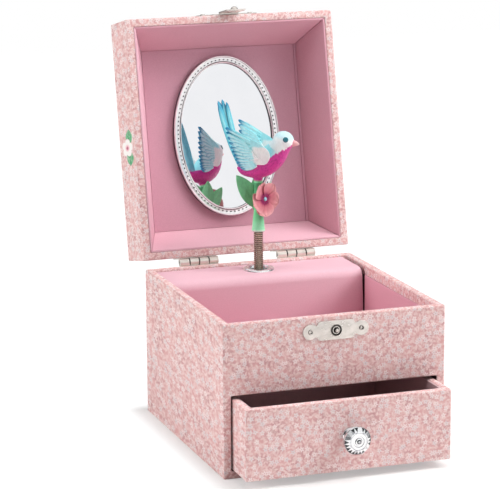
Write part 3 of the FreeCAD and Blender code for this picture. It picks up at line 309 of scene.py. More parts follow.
def brushedPaint(name, roughLow, roughHigh, streak=0.14, coat=0.0):
    # satin paint on a small moulding; its colours are in the mesh
    mat, tree, shader = startMaterial(name)
    paint = meshColour(tree, "paint")
    brush = speckle(tree, objectPlace(tree, (1, 1, 0.45)), 950, 3, 0.6)
    cloud = speckle(tree, objectPlace(tree), 210, 3)
    darker = blendColour(tree, rise(tree, brush, 0.35, 0.72, 0.0, streak), paint, (0.25, 0.25, 0.3), "MULTIPLY")
    colour = blendColour(tree, rise(tree, cloud, 0.45, 0.75, 0.0, 0.12), darker, (1, 1, 1), "SOFT_LIGHT")
    dressed(tree, shader, colour, rise(tree, cloud, 0.25, 0.75, roughLow, roughHigh), specular=0.4, coat=coat)
    bumpFrom(tree, shader, brush, 0.18, 0.00010)
    return mat


def bareWood():
    mat, tree, shader = startMaterial("bareWood")
    grain = speckle(tree, objectPlace(tree, (1, 1, 0.12)), 1400, 4)
    colour = blendColour(tree, rise(tree, grain, 0.3, 0.7), (0.72, 0.56, 0.42), (0.52, 0.37, 0.26))
    dressed(tree, shader, colour, rise(tree, grain, 0.2, 0.8, 0.55, 0.75))
    bumpFrom(tree, shader, grain, 0.2, 0.0001)
    return mat


def facetReflections():
    # painted reflections: each facet's light or dark tone is in the mesh
    mat, tree, shader = startMaterial("facetReflections")
    cloud = speckle(tree, objectPlace(tree), 420, 3)
    haze = rise(tree, cloud, 0.4, 0.8, 0.0, 0.18)
    colour = blendColour(tree, haze, meshColour(tree, "paint"), (0.55, 0.57, 0.6))
    dressed(tree, shader, colour, rise(tree, cloud, 0.3, 0.8, 0.05, 0.14), 0.8, coat=0.6)
    shader.inputs["Coat Roughness"].default_value = 0.04
    return mat


finish = {
    "floral": floralPaper("floralPaper"),
    "floralSprig": floralPaper("floralPaperSprig", True),
    "lining": plainPaper("liningPaper", (0.800, 0.490, 0.565), (0.735, 0.430, 0.505)),
    # painted shade: the lid's panel has a darker copy of the lining paper
    "panel": plainPaper("panelShadedPaper", (0.672, 0.366, 0.450), (0.614, 0.323, 0.400)),
    # painted shade: a darker copy of the lining paper for the compartment and the lid's front and right cards
    "deepLining": plainPaper("shadedLiningPaper", (0.752, 0.412, 0.486), (0.691, 0.361, 0.434)),
    # painted light: a lighter copy of the lining paper for the movement's cover
    "cover": plainPaper("coverLitPaper", (0.828, 0.540, 0.615), (0.761, 0.474, 0.549)),
    "plum": plainPaper("plumPaper", (0.735, 0.530, 0.550), (0.655, 0.465, 0.485)),
    "board": plainPaper("greyBoard", (0.36, 0.29, 0.25), (0.24, 0.19, 0.165), 0.6, 0.5),
    # painted shade: a dark sheet on the case's inside, seen in gaps and in the drawer's bay
    "bay": plainPaper("bayShadePaper", (0.150, 0.095, 0.100), (0.105, 0.066, 0.070)),
    "nickel": plated("nickelPlate", (0.77, 0.715, 0.670), (0.64, 0.595, 0.555), 0.14, 0.30, 0.12, 0.6),
    # painted light: the hinges' nickel plate is a lighter copy of the clasp's
    "hingePlateLit": plated("hingePlateLit", (0.82, 0.765, 0.70), (0.70, 0.65, 0.595), 0.12, 0.26, 0.12, 0.6),
    # painted shade: dark in the clasp's rings and nail heads and in the hinge seams
    "claspShade": plated("claspShade", (0.085, 0.078, 0.075), (0.035, 0.032, 0.030), 0.18, 0.34, 0.06),
    "chrome": plated("chromePlate", (0.86, 0.865, 0.88), (0.74, 0.745, 0.765), 0.05, 0.14, 0.05),
    "brightChrome": plated("brightChrome", (0.95, 0.955, 0.965), (0.86, 0.865, 0.88), 0.06, 0.14, 0.05, 0.8),
    "frameSilver": plated("frameSilver", (0.985, 0.985, 0.99), (0.94, 0.94, 0.95), 0.10, 0.20, 0.05, 0.55),
    "frameShade": plated("frameShade", (0.10, 0.092, 0.10), (0.055, 0.050, 0.056), 0.24, 0.40, 0.06),
    # painted shade: the frame's beads are dark
    "frameBeadShade": plated("frameBeadShade", (0.15, 0.15, 0.16), (0.08, 0.08, 0.088), 0.20, 0.36, 0.06),
    "mirror": silveredGlass(),
    "spring": plated("springWire", (0.60, 0.50, 0.40), (0.40, 0.32, 0.26), 0.16, 0.32),
    "steel": plated("plainSteel", (0.56, 0.55, 0.53), (0.40, 0.39, 0.375), 0.24, 0.42),
    "brass": plated("plainBrass", (0.78, 0.56, 0.22), (0.56, 0.38, 0.13), 0.20, 0.38),
    "zinc": plated("zincCasting", (0.50, 0.505, 0.52), (0.36, 0.365, 0.38), 0.38, 0.58, 0.25),
    "facets": facetReflections(),
    "wood": bareWood(),
    "paint": brushedPaint("figurePaint", 0.34, 0.5),
    "eyePaint": brushedPaint("eyePaint", 0.10, 0.18, 0.04, 0.6),
}
print("materials made:", len(finish))


# mesh helpers

def linked(name, data):
    obj = bpy.data.objects.new(name, data)
    scene.collection.objects.link(obj)
    return obj


def meshOf(bm, name, joinDoubles=0.0):
    if joinDoubles:
        bmesh.ops.remove_doubles(bm, verts=bm.verts, dist=joinDoubles * mm)
    bmesh.ops.recalc_face_normals(bm, faces=bm.faces)
    mesh = bpy.data.meshes.new(name)
    bm.to_mesh(mesh)
    bm.free()
    return mesh


def tempObject(bm, name):
    return linked(name, meshOf(bm, name))


def softened(obj, width, steps, angle):
    soft = obj.modifiers.new("soft", "BEVEL")
    soft.width, soft.segments = width * mm, steps
    soft.limit_method, soft.angle_limit = "ANGLE", radians(angle)


def combined(obj, operation, tool):
    cut = obj.modifiers.new("cut", "BOOLEAN")
    cut.operation, cut.object, cut.solver = operation, tool, "EXACT"


def settled(obj, dropObjects=()):
    # the modifier stack's result as a plain mesh; the working objects go away
    graph = bpy.context.evaluated_depsgraph_get()
    mesh = bpy.data.meshes.new_from_object(obj.evaluated_get(graph), depsgraph=graph)
    for old in (obj, *dropObjects):
        bpy.data.objects.remove(old, do_unlink=True)
    return mesh


def addBox(bm, low, high):
    made = bmesh.ops.create_cube(bm, size=1.0)
    for v in made["verts"]:
        v.co = Vector([low[i] + (v.co[i] + 0.5) * (high[i] - low[i]) for i in range(3)]) * mm


def addRing(bm, at, radius, height, count, offset=0.0):
    # a ring of vertices round the local Z, or one vertex on it
    turns = [2 * pi * (k + offset) / count for k in range(count if radius > 1e-6 else 1)]
    return [bm.verts.new((at @ Vector((radius * cos(a), radius * sin(a), height))) * mm) for a in turns]


def addRows(bm, rows, loop=False):
    # quads between rows of vertices; a row of one vertex is a tip
    for a, b in zip(rows, rows[1:]):
        count = max(len(a), len(b))
        for k in range(count if loop else count - 1):
            j = (k + 1) % count
            corners = [a[k % len(a)], a[j % len(a)], b[j % len(b)], b[k % len(b)]]
            corners = [v for i, v in enumerate(corners) if v not in corners[:i]]
            if len(corners) > 2:
                bm.faces.new(corners)


def addClosed(bm, rows):
    # a tube of rows with both ends filled
    addRows(bm, rows, True)
    bm.faces.new(rows[0])
    bm.faces.new(rows[-1])


def addTurned(bm, profile, steps, at=Matrix(), ring=False):
    # profile of (radius, height) round the local Z; ring joins its two ends
    loops = [addRing(bm, at, radius, height, steps) for radius, height in profile]
    addRows(bm, loops + loops[:1] if ring else loops, True)


def turnedMesh(name, *form):
    bm = bmesh.new()
    addTurned(bm, *form)
    return meshOf(bm, name)


def addBlade(bm, rows, across, spot):
    # a thin closed sheet: spot gives a point from the row, the share across (-1 to 1) and the face
    front, back = [[[bm.verts.new(spot(i, 2 * j / across - 1, face) * mm) for j in range(across + 1)]
                    for i in range(rows + 1)] for face in (1, -1)]
    addRows(bm, front)
    addRows(bm, back)
    rims = [[r[0] for r in g] + g[-1][1:] + [r[-1] for r in g[::-1]][1:] + g[0][::-1][1:-1] for g in (front, back)]
    addRows(bm, rims, True)


def lensHeight(t, thick, edge=0.25):
    # half the thickness across a blade, thinner by the edge share at its sides
    return (edge + (1 - edge) * sqrt(max(0.0, 1 - t * t))) * thick / 2


def arcLine(radius, height, start, end, steps):
    # an arc as profile points, in degrees up from level
    turns = [radians(start + (end - start) * k / steps) for k in range(steps + 1)]
    return [(radius * cos(a), height + radius * sin(a)) for a in turns]


def addRod(bm, start, end, radius, steps=48):
    along = Vector(end) - Vector(start)
    at = Matrix.Translation(start) @ along.to_track_quat("Z", "Y").to_matrix().to_4x4()
    addTurned(bm, [(0, 0), (radius, 0), (radius, along.length), (0, along.length)], steps, at)


def throughPoints(points, count):
    pts = [Vector(p) for p in points]
    spans = len(pts) - 1
    out = []
    for i in range(count):
        f = i / (count - 1) * spans
        k = min(int(f), spans - 1)
        t = f - k
        p0, p1, p2, p3 = pts[max(k - 1, 0)], pts[k], pts[k + 1], pts[min(k + 2, spans)]
        out.append(0.5 * (2 * p1 + (p2 - p0) * t + (2 * p0 - 5 * p1 + 4 * p2 - p3) * t * t
                          + (3 * p1 - p0 - 3 * p2 + p3) * t ** 3))
    return out


def easing(value, low, high):
    t = min(max((value - low) / (high - low), 0.0), 1.0)
    return t * t * (3 - 2 * t)


def mixed(a, b, t):
    return tuple(x + (y - x) * t for x, y in zip(a, b))


def between(ends, t):
    return ends[0] + (ends[1] - ends[0]) * t


def cloudAt(x, y, z):
    # soft noise from 0 to 1
    return 0.5 + 0.5 * noise.noise(Vector((x, y, z)))


def carved(boxes, cuts=(), rods=(), bevel=0.75, steps=3):
    # boards joined, cut and with softened edges, as a mesh
    bm = bmesh.new()
    addBox(bm, *boxes[0])
    solid = tempObject(bm, "solid")
    tools = []
    jobs = [("UNION", addBox, b) for b in boxes[1:]] + [("DIFFERENCE", addBox, c) for c in cuts]
    for operation, add, shape in jobs + [("DIFFERENCE", addRod, r) for r in rods]:
        bm = bmesh.new()
        add(bm, *shape)
        tools.append(tempObject(bm, "tool"))
        combined(solid, operation, tools[-1])
    softened(solid, bevel, steps, 30)
    return settled(solid, tools)


def place(name, mesh, finishes, body, slotName, *nodes, smooth=40.0):
    # shapes of the lid and drawer are built shut; edges past the smooth angle stay sharp
    if body in restMoves:
        mesh.transform(restMoves[body])
    obj = linked(name, mesh)
    if not mesh.materials:
        for tone in finishes.split():
            mesh.materials.append(finish[tone])
    mesh.polygons.foreach_set("use_smooth", [smooth > 0] * len(mesh.polygons))
    if smooth:
        mesh.set_sharp_from_angle(angle=radians(smooth))
    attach(obj, body)
    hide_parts(*nodes)


def flatFacesFlat(mesh, flatArea=None):
    # board faces stay flat and their softened edges smooth; on a turned board they are told by area in mm2
    for poly in mesh.polygons:
        square = max(abs(c) for c in poly.normal) >= 0.999
        poly.use_smooth = not square if flatArea is None else poly.area < flatArea * mm * mm


def wrapUv(mesh, halfX, halfY, top, stretch):
    # one sheet of paper round the box: the print runs on round each upright corner and over the rim
    layer = mesh.uv_layers.new(name="wrap")
    wear = mesh.attributes.new("edgeWear", "FLOAT", "POINT")
    worn = [0.0] * len(mesh.vertices)
    hx, hy = halfX * mm, halfY * mm
    for poly in mesh.polygons:
        n = poly.normal
        soft = max(abs(n.x), abs(n.y), abs(n.z)) < 0.98
        for li in poly.loop_indices:
            vi = mesh.loops[li].vertex_index
            x, y, z = mesh.vertices[vi].co
            worn[vi] = 1.0 if soft else worn[vi]
            if abs(n.z) > max(abs(n.x), abs(n.y)):
                uv = (x, top * mm + (y + hy)) if n.z > 0 else (x, -(y + hy))
            elif abs(n.y) >= abs(n.x):
                uv = (x, z) if y < 0 else (2 * hx + 2 * hy - x, z)
            else:
                uv = (hx + (y + hy), z) if x > 0 else ((-hx - (y + hy)) / stretch[0], z / stretch[1])
            layer.data[li].uv = uv
    wear.data.foreach_set("value", worn)


def paintVerts(mesh, colourAt):
    # a colour for each vertex, from its place in millimetres
    layer = mesh.color_attributes.new("paint", "FLOAT_COLOR", "POINT")
    for v in mesh.vertices:
        layer.data[v.index].color = (*colourAt(v.co / mm), 1.0)


# paper-covered boards

liningForm = {"thick": 1.0, "turnIn": 5.0, "turnLap": 0.4, "floorTop": 46.5, "soft": 0.28, "endGap": 1.0,
              "endCut": 2.0}


def makeCase():
    s = caseSize
    x, y, hole = s["halfX"], s["halfY"], s["keyHoleZ"]
    mesh = carved([((-x, -y, 0), (x, y, s["high"]))],
                  [((-innerX, -innerY, s["bottom"]), (innerX, innerY, s["high"] + past)),
                   ((-innerX, -y - past, s["bottom"]), (innerX, -innerY + past, s["bayTop"]))],
                  [((0, innerY - past, hole), (0, y + past, hole), s["keyHoleRadius"])])
    bm = bmesh.new()
    bm.from_mesh(mesh)
    turnInLow = s["high"] - liningForm["turnIn"] - liningForm["turnLap"]
    bmesh.ops.bisect_plane(bm, geom=bm.verts[:] + bm.edges[:] + bm.faces[:], plane_co=(0, 0, turnInLow * mm),
                           plane_no=(0, 0, 1))
    bm.to_mesh(mesh)
    bm.free()
    wrapUv(mesh, x, y, s["high"], floralPrint["caseStretch"])
    for poly in mesh.polygons:  # the printed paper ends a little below the rim inside; below it the inside is painted dark, as painted shade
        c = poly.center / mm
        within = abs(c.x) < x - s["skin"] and abs(c.y) < y - s["skin"]
        poly.material_index = int(within and s["skin"] < c.z < turnInLow)
    place("caseWrap", mesh, "floral bay", "case", "printed_paper_board",
          "left_side", "right_side", "back_panel", "front_panel", "bottom_board")
    flatFacesFlat(mesh)


def makeLid():
    s, d = caseSize, lidSize
    x, y = s["halfX"], s["halfY"]
    mesh = carved([((-x, -y, d["low"]), (x, y, d["high"]))],
                  [((-innerX, -innerY, d["low"] - past), (innerX, innerY, d["plateLow"]))])
    wrapUv(mesh, x, y, d["high"], floralPrint["lidStretch"])
    for poly in mesh.polygons:
        poly.material_index = int(poly.center.x < -(x - d["sprigSkin"]) * mm)
    place("lidWrap", mesh, "floral floralSprig", "lid", "printed_paper_board",
          "lid_top", "lid_left", "lid_right", "lid_front", "lid_back")
    flatFacesFlat(mesh, d["flatFace"])


def makeDrawer():
    d = drawerSize
    x, ix = d["halfX"], d["halfX"] - d["sideThick"]
    yIn, yEnd = d["frontY"] + d["frontThick"], d["backY"] - d["sideThick"]
    mesh = carved([((-x, d["frontY"], d["low"]), (x, d["backY"], d["high"]))],
                  [((-ix, yIn, d["bottomHigh"]), (ix, yEnd, d["high"] + past)),
                   ((-ix, yIn, d["low"] - past), (ix, yEnd, d["bottomLow"]))], bevel=d["soft"])
    wrapUv(mesh, x, caseSize["halfY"], d["high"], floralPrint["caseStretch"])
    place("drawerWrap", mesh, "floral", "drawer", "printed_paper_board",
          "drawer_front", "drawer_left", "drawer_right", "drawer_back", "drawer_bottom")
    flatFacesFlat(mesh)
    low, high, t = d["bottomHigh"], d["liningHigh"], d["liningThick"]
    lining = carved([((-ix, yIn, low), (ix, yEnd, high))],
                    [((-ix + t, yIn + t, low + t), (ix - t, yEnd - t, high + past))],
                    bevel=d["liningSoft"], steps=2)
    place("drawerLining", lining, "plum", "drawer", "drawer_lining_paper", "drawer_lining")
    flatFacesFlat(lining)


makeLid()
makeCase()
makeDrawer()
print("papered case, lid and drawer made")


# linings and the movement's cover

coverForm = {"left": -54.9, "rightLow": 54.9, "rightHigh": 53.9, "thick": 2.0, "bend": 5.0, "bendSteps": 14,
             "holeRadius": 6.0, "holeSteps": 64, "soft": 0.3}
lidLiningForm = {"low": 80.7, "thick": 1.0, "rimGap": 0.06, "sideInset": 10.0, "frontInset": 12.0, "backInset": 10.6,
                 "seam": 0.14, "soft": 0.2, "past": 0.4, "edgeGap": 0.12, "strip": 1.3, "groove": 0.4,
                 "grooveDeep": 0.6, "boardRise": 0.25, "panelSoft": 0.12, "flatFace": 100.0}


def makeCompartmentLining():
    s, p = caseSize, liningForm
    t, x, y, back, half = p["thick"], innerX, innerY, spindle["coverFront"], p["endCut"]
    ends = [((end - half, back - p["endGap"], p["floorTop"]), (end + half, back + past, s["high"]))
            for end in (-x, x)]
    mesh = carved([((-x, -y, s["floorTop"]), (x, back, s["high"] - p["turnIn"]))],
                  [((-x + t, -y + t, p["floorTop"]), (x - t, back + past, s["high"]))] + ends,
                  bevel=p["soft"], steps=2)
    # the compartment lining is painted darker, as painted shade
    place("compartmentLining", mesh, "deepLining", "case", "lining_paper", "compartment_lining")
    flatFacesFlat(mesh)


def makeCover():
    p = coverForm
    y0, y1, top, low = spindle["coverFront"], spindle["coverBack"], spindle["coverTop"], caseSize["floorTop"]
    t, r = p["thick"], p["bend"]
    bends = [[(y0 + r - y, top - r + z) for y, z in arcLine(radius, 0, 0, 90, p["bendSteps"])]
             for radius in (r, r - t)]
    outline = [(y0, low)] + bends[0] + [(y1, top), (y1, top - t)] + bends[1][::-1] + [(y0 + t, low)]
    lean = (p["rightHigh"] - p["rightLow"]) / (top - low)  # the right end slants
    bm = bmesh.new()
    addClosed(bm, [[bm.verts.new(Vector((x + slant * (z - low), y, z)) * mm) for y, z in outline]
                   for x, slant in ((p["left"], 0), (p["rightLow"], lean))])
    solid = tempObject(bm, "cover")
    bm = bmesh.new()
    addRod(bm, (0, spindle["y"], top - past), (0, spindle["y"], top + past), p["holeRadius"], p["holeSteps"])
    hole = tempObject(bm, "hole")
    combined(solid, "DIFFERENCE", hole)
    softened(solid, p["soft"], 2, 40)
    # the cover's paper is painted lighter, as painted light
    place("movementCover", settled(solid, [hole]), "cover", "case", "lining_paper", "movement_cover", smooth=30)


def makeLidLining():
    # four walls slope from the rim in to the mirror panel, with a fine fold at each corner
    d, p = lidSize, lidLiningForm
    ax, front, back = innerX - p["sideInset"], -innerY + p["frontInset"], innerY - p["backInset"]
    rx, ry = innerX - p["rimGap"] - p["thick"], innerY - p["rimGap"] - p["thick"]
    rim = [Vector((x, y, p["low"])) for x, y in ((-rx, -ry), (rx, -ry), (rx, ry), (-rx, ry))]
    foot = [Vector((x, y, d["panelLow"])) for x, y in ((-ax, front), (ax, front), (ax, back), (-ax, back))]
    over = p["past"] / (d["panelLow"] - p["low"])
    foot = [f + (f - r) * over for f, r in zip(foot, rim)]
    bm = bmesh.new()
    for k in range(4):
        j = (k + 1) % 4
        along = (rim[j] - rim[k]).normalized()
        out = Vector((along.y, -along.x, 0)) * p["thick"]
        step = along * p["seam"]
        inner = [rim[k] + step, rim[j] - step, foot[j] - step, foot[k] + step]
        outer = [v + out + along * p["thick"] * (1 if i in (1, 2) else -1) for i, v in enumerate(inner)]
        addClosed(bm, [[bm.verts.new(v * mm) for v in face] for face in (inner, outer)])
    solid = tempObject(bm, "lidLining")
    softened(solid, p["soft"], 2, 30)
    walls = settled(solid)
    for poly in walls.polygons:  # the front and right cards are painted darker, as painted shade
        c = poly.center / mm
        poly.material_index = int(max(c.x / rx, -c.y / ry) > max(-c.x / rx, c.y / ry))
    face, gap = d["panelLow"] - p["boardRise"], p["edgeGap"]
    gx = ax - gap - p["strip"]  # a groove sets off the strip at the panel's right edge
    panel = carved([((-ax + gap, front + gap, face), (ax - gap, back - gap, d["plateLow"]))],
                   [((gx - p["groove"], front, face - past), (gx, back, face + p["grooveDeep"]))],
                   bevel=p["panelSoft"], steps=2)
    place("lidLining", walls, "lining deepLining", "lid", "lining_paper",
          "lid_lining_left", "lid_lining_right", "lid_lining_front", "lid_lining_back")
    # the panel's paper is painted darker, as painted shade
    place("lidPanel", panel, "panel", "lid", "lining_paper", "lid_inner_panel")
    for mesh in (walls, panel):
        flatFacesFlat(mesh, p["flatFace"])


makeCompartmentLining()
makeCover()
makeLidLining()
print("linings and cover made")


# mirror

mirrorForm = {"halfX": 31.0, "halfY": 45.0, "around": 168,
              "profile": [(0.0, 0.05), (0.0, 2.6), (0.1, 3.2), (0.3, 3.6), (0.55, 3.72), (0.8, 3.62), (0.95, 3.3),
                          (1.05, 3.05), (1.2, 3.0), (3.15, 3.0), (3.35, 3.12), (3.55, 3.28), (3.75, 3.36),
                          (3.95, 3.2), (4.2, 2.8), (4.35, 2.2), (4.4, 1.75), (4.0, 1.7), (3.3, 1.7), (3.3, 0.05)],
              "sideShade": 2.3, "grooveShade": (3.16, 3.56), "lipShade": (3.95, 2.9),
              "glassX": 27.4, "glassY": 41.4, "glass": ((1.0, 0.0), (1.0, 1.35), (0.994, 1.6))}
beadForm = {"inset": 2.3, "height": 3.12, "size": 0.39, "count": 94, "stretch": (1.5, 1.0, 0.9)}


def makeMirror():
    p = mirrorForm
    low = lidSize["panelLow"]
    bm = bmesh.new()
    rows = []
    for k in range(p["around"]):
        a = 2 * pi * k / p["around"]
        x, y = p["halfX"] * cos(a), p["halfY"] * sin(a)
        inward = -Vector((x / p["halfX"] ** 2, y / p["halfY"] ** 2, 0)).normalized()
        rows.append([bm.verts.new((Vector((x, y, low - h)) + inward * w) * mm) for w, h in p["profile"]])
    addRows(bm, rows + rows[:1], True)
    mesh = meshOf(bm, "mirrorFrame")
    for poly in mesh.polygons:  # painted shade on the outer side, in a groove and round the glass
        c = poly.center / mm
        q = hypot(c.x / p["halfX"], c.y / p["halfY"])
        inset, high = (1 - q) * hypot(c.x, c.y) / q, low - c.z
        groove = p["grooveShade"][0] < inset < p["grooveShade"][1]
        lip = inset > p["lipShade"][0] and high < p["lipShade"][1]
        poly.material_index = int(high < p["sideShade"] or groove or lip)
    place("mirrorFrame", mesh, "frameSilver frameShade", "lid", "silver_frame", "mirror_frame", smooth=50)
    bm = bmesh.new()
    oval = Matrix.Diagonal((p["glassX"], p["glassY"], 1, 1))
    addClosed(bm, [addRing(bm, oval, share, low - h, p["around"]) for share, h in p["glass"]])
    place("mirrorGlass", meshOf(bm, "mirrorGlass"), "mirror", "lid", "mirror_glass", "mirror_glass", smooth=20)


def startTree(name, inputs):
    # a shape-making node tree with named inputs
    tree = bpy.data.node_groups.new(name, "GeometryNodeTree")
    for label, kind in inputs:
        tree.interface.new_socket(name=label, in_out="INPUT", socket_type="NodeSocket" + kind)
    tree.interface.new_socket(name="Geometry", in_out="OUTPUT", socket_type="NodeSocketGeometry")
    return tree, tree.nodes.new("NodeGroupInput").outputs


def endTree(tree, shape, material):
    real = addNode(tree, "GeometryNodeRealizeInstances", {"Geometry": shape.outputs[0]})
    done = addNode(tree, "GeometryNodeSetMaterial", {"Geometry": real.outputs[0], "Material": material})
    tree.links.new(done.outputs[0], tree.nodes.new("NodeGroupOutput").inputs[0])
    return tree


def beadRowTree():
    # small beads set along an oval
    tree, given = startTree("beadRow", (("Half Width", "Float"), ("Half Length", "Float"), ("Bead Size", "Float"),
                                        ("Bead Count", "Int"), ("Bead Finish", "Material")))
    circle = addNode(tree, "GeometryNodeCurvePrimitiveCircle", {"Resolution": 256, "Radius": 1.0})
    size = addNode(tree, "ShaderNodeCombineXYZ", {0: given["Half Width"], 1: given["Half Length"], 2: 1.0})
    oval = addNode(tree, "GeometryNodeTransform", {"Geometry": circle.outputs[0], "Scale": size.outputs[0]})
    even = addNode(tree, "GeometryNodeResampleCurve", {"Curve": oval.outputs[0], "Count": given["Bead Count"]})
    along = addNode(tree, "GeometryNodeInputTangent")
    turn = addNode(tree, "FunctionNodeAlignRotationToVector", {"Vector": along.outputs[0]}, axis="X")
    bead = addNode(tree, "GeometryNodeMeshUVSphere", {"Segments": 8, "Rings": 5, "Radius": given["Bead Size"]})
    long = addNode(tree, "GeometryNodeTransform", {"Geometry": bead.outputs[0], "Scale": beadForm["stretch"]})
    row = addNode(tree, "GeometryNodeInstanceOnPoints",
                  {"Points": even.outputs[0], "Instance": long.outputs[0], "Rotation": turn.outputs[0]})
    return endTree(tree, row, given["Bead Finish"])


def grown(tree, values):
    # runs a node tree on an empty mesh and gives its result as a plain mesh
    holder = tempObject(bmesh.new(), tree.name)
    mod = holder.modifiers.new(tree.name, "NODES")
    mod.node_group = tree
    names = {item.name: item.identifier for item in tree.interface.items_tree if item.in_out == "INPUT"}
    for name, value in values.items():
        mod[names[name]] = value
    holder.update_tag()
    return settled(holder)


makeMirror()
# the beads are painted dark, as painted shade round the silver frame
beads = grown(beadRowTree(), {"Half Width": (mirrorForm["halfX"] - beadForm["inset"]) * mm,
                              "Half Length": (mirrorForm["halfY"] - beadForm["inset"]) * mm,
                              "Bead Size": beadForm["size"] * mm, "Bead Count": beadForm["count"],
                              "Bead Finish": finish["frameBeadShade"]})
beads.transform(Matrix.Translation((0, 0, (lidSize["panelLow"] - beadForm["height"]) * mm)))
place("mirrorBeads", beads, "frameBeadShade", "lid", "silver_frame", "mirror_frame", smooth=70)
print("mirror made")


# metal fittings

grommetForm = {"profile": [(8.75, 78.72), (8.72, 78.95), (8.5, 79.3), (8.1, 79.58), (7.5, 79.76), (6.8, 79.8),
                           (6.1, 79.68), (5.6, 79.35), (5.3, 78.9), (5.2, 78.3), (5.2, 76.2), (5.95, 76.2),
                           (5.95, 78.72)], "steps": 72}
claspForm = {"z": 72.4, "lidZ": 86.9, "face": -66.0, "thick": 0.7, "soft": 0.18, "halfMiddle": 9.5, "halfHeight": 5.0,
             "shoulder": ((-1.2, 0.0), (-0.3, -0.25), (0.25, -0.9), (0.5, -1.6)), "neck": ((1.1, 2.95), (1.7, 3.1)),
             "lobeAt": 13.8, "lobeRadius": 4.0, "lobeTurn": 118, "lobeSteps": 14,
             "nailRadius": 1.3, "nailSteps": 28, "studSteps": 40, "ballSteps": 12, "softAngle": 50,
             "nail": ((0, -0.3), (1, -0.3), (1, 0.2), (0.93, 0.5), (0.80, 0.7), (0.66, 0.60),
                      (0.55, 0.25), (0.48, -0.08), (0.25, -0.16), (0, -0.18)),
             "nailShade": ((0, 0.70), (0.94, 9)), "ball": 1.15, "ballY": -67.6, "ballFrom": -48,
             "collar": 3.2, "rings": ((0, -0.1), (1, -0.1), (1, 0.12), (0.97, 0.27), (0.93, 0.3), (0.89, 0.24),
                                      (0.86, 0.06), (0.76, 0.03), (0.72, 0.14), (0.62, 0.28), (0.50, 0.32),
                                      (0.42, 0.26)), "ringShade": (0.66, 0.91), "innerShade": (0.80, 0.48)}
tongueForm = {"halfX": 5.5, "front": -67.9, "back": -67.1, "low": 68.85, "step": 1.2, "soft": 0.22,
              "domeOuter": 2.15, "domeInner": 1.55, "domeFrom": 8, "domeFoot": (0.5, -0.1), "domeSink": -0.35,
              "arcSteps": 10, "steps": 36, "joinWithin": 0.001}


def makeGrommet():
    mesh = turnedMesh("spindleGrommet", grommetForm["profile"], grommetForm["steps"],
                      Matrix.Translation((0, spindle["y"], 0)), True)
    place("spindleGrommet", mesh, "brightChrome", "case", "nickel_plate", "spindle_grommet", smooth=50)


def claspOutline():
    # right half from top to bottom: stepped middle, hollow neck, round lobe
    p = claspForm
    x, z, turn = p["halfMiddle"], p["halfHeight"], p["lobeTurn"]
    steps = [(x + dx, z + dz) for dx, dz in p["shoulder"]] + [(x + dx, dz) for dx, dz in p["neck"]]
    lobe = [(p["lobeAt"] + dx, dz) for dx, dz in arcLine(p["lobeRadius"], 0, turn, -turn, p["lobeSteps"])]
    right = [(0, z)] + steps + lobe + [(dx, -dz) for dx, dz in steps[::-1]] + [(0, -z)]
    return right + [(-dx, dz) for dx, dz in right[1:-1]][::-1]


def claspPlate(z, name):
    p = claspForm
    bm = bmesh.new()
    addClosed(bm, [[bm.verts.new(Vector((x, p["face"] - depth, z + dz)) * mm) for x, dz in claspOutline()]
                   for depth in (0.0, p["thick"])])
    solid = tempObject(bm, name)
    softened(solid, p["soft"], 2, p["softAngle"])
    return settled(solid)


def outOfFront(x, y, z):
    # local Z points out of the front
    return Matrix.Translation((x, y, z)) @ turned(90, "X")


def nailPair(name, z):
    p = claspForm
    bm = bmesh.new()
    for x in (-p["lobeAt"], p["lobeAt"]):
        at = outOfFront(x, p["face"] - p["thick"], z)
        addTurned(bm, [(r * p["nailRadius"], h) for r, h in p["nail"]], p["nailSteps"], at)
    return meshOf(bm, name)


def joined(meshes, name):
    bm = bmesh.new()
    for mesh in meshes:
        bm.from_mesh(mesh)
    out = bpy.data.meshes.new(name)
    bm.to_mesh(out)
    bm.free()
    return out


def darkRings(mesh, xs, z, bands):
    # painted shade: dark rings round the stud and in the nail heads
    for poly in mesh.polygons:
        c = poly.center / mm
        out = min(hypot(c.x - x, c.z - z) for x in xs)
        poly.material_index = int(any(low <= out <= high for low, high in bands))


def makeClasp():
    p = claspForm
    face, z, c, b, r = p["face"] - p["thick"], p["z"], p["collar"], p["ball"], p["nailRadius"]
    collar = [(share * c, h) for share, h in p["rings"]]
    ball = arcLine(b, face - p["ballY"], p["ballFrom"], 90, p["ballSteps"])
    stud = turnedMesh("stud", collar + ball, p["studSteps"], outOfFront(0, face, z))
    darkRings(stud, (0,), z, ((c * p["ringShade"][0], c * p["ringShade"][1]),
                              (b * p["innerShade"][0], c * p["innerShade"][1])))
    mesh = joined([claspPlate(z, "plate"), stud], "claspPlate")
    place("claspPlate", mesh, "nickel claspShade", "case", "nickel_plate", "clasp_plate", smooth=35)
    nails = nailPair("claspNails", z)
    darkRings(nails, (-p["lobeAt"], p["lobeAt"]), z, [(r * low, r * high) for low, high in p["nailShade"]])
    place("claspNails", nails, "nickel claspShade", "case", "nickel_plate", "clasp_nails", smooth=45)


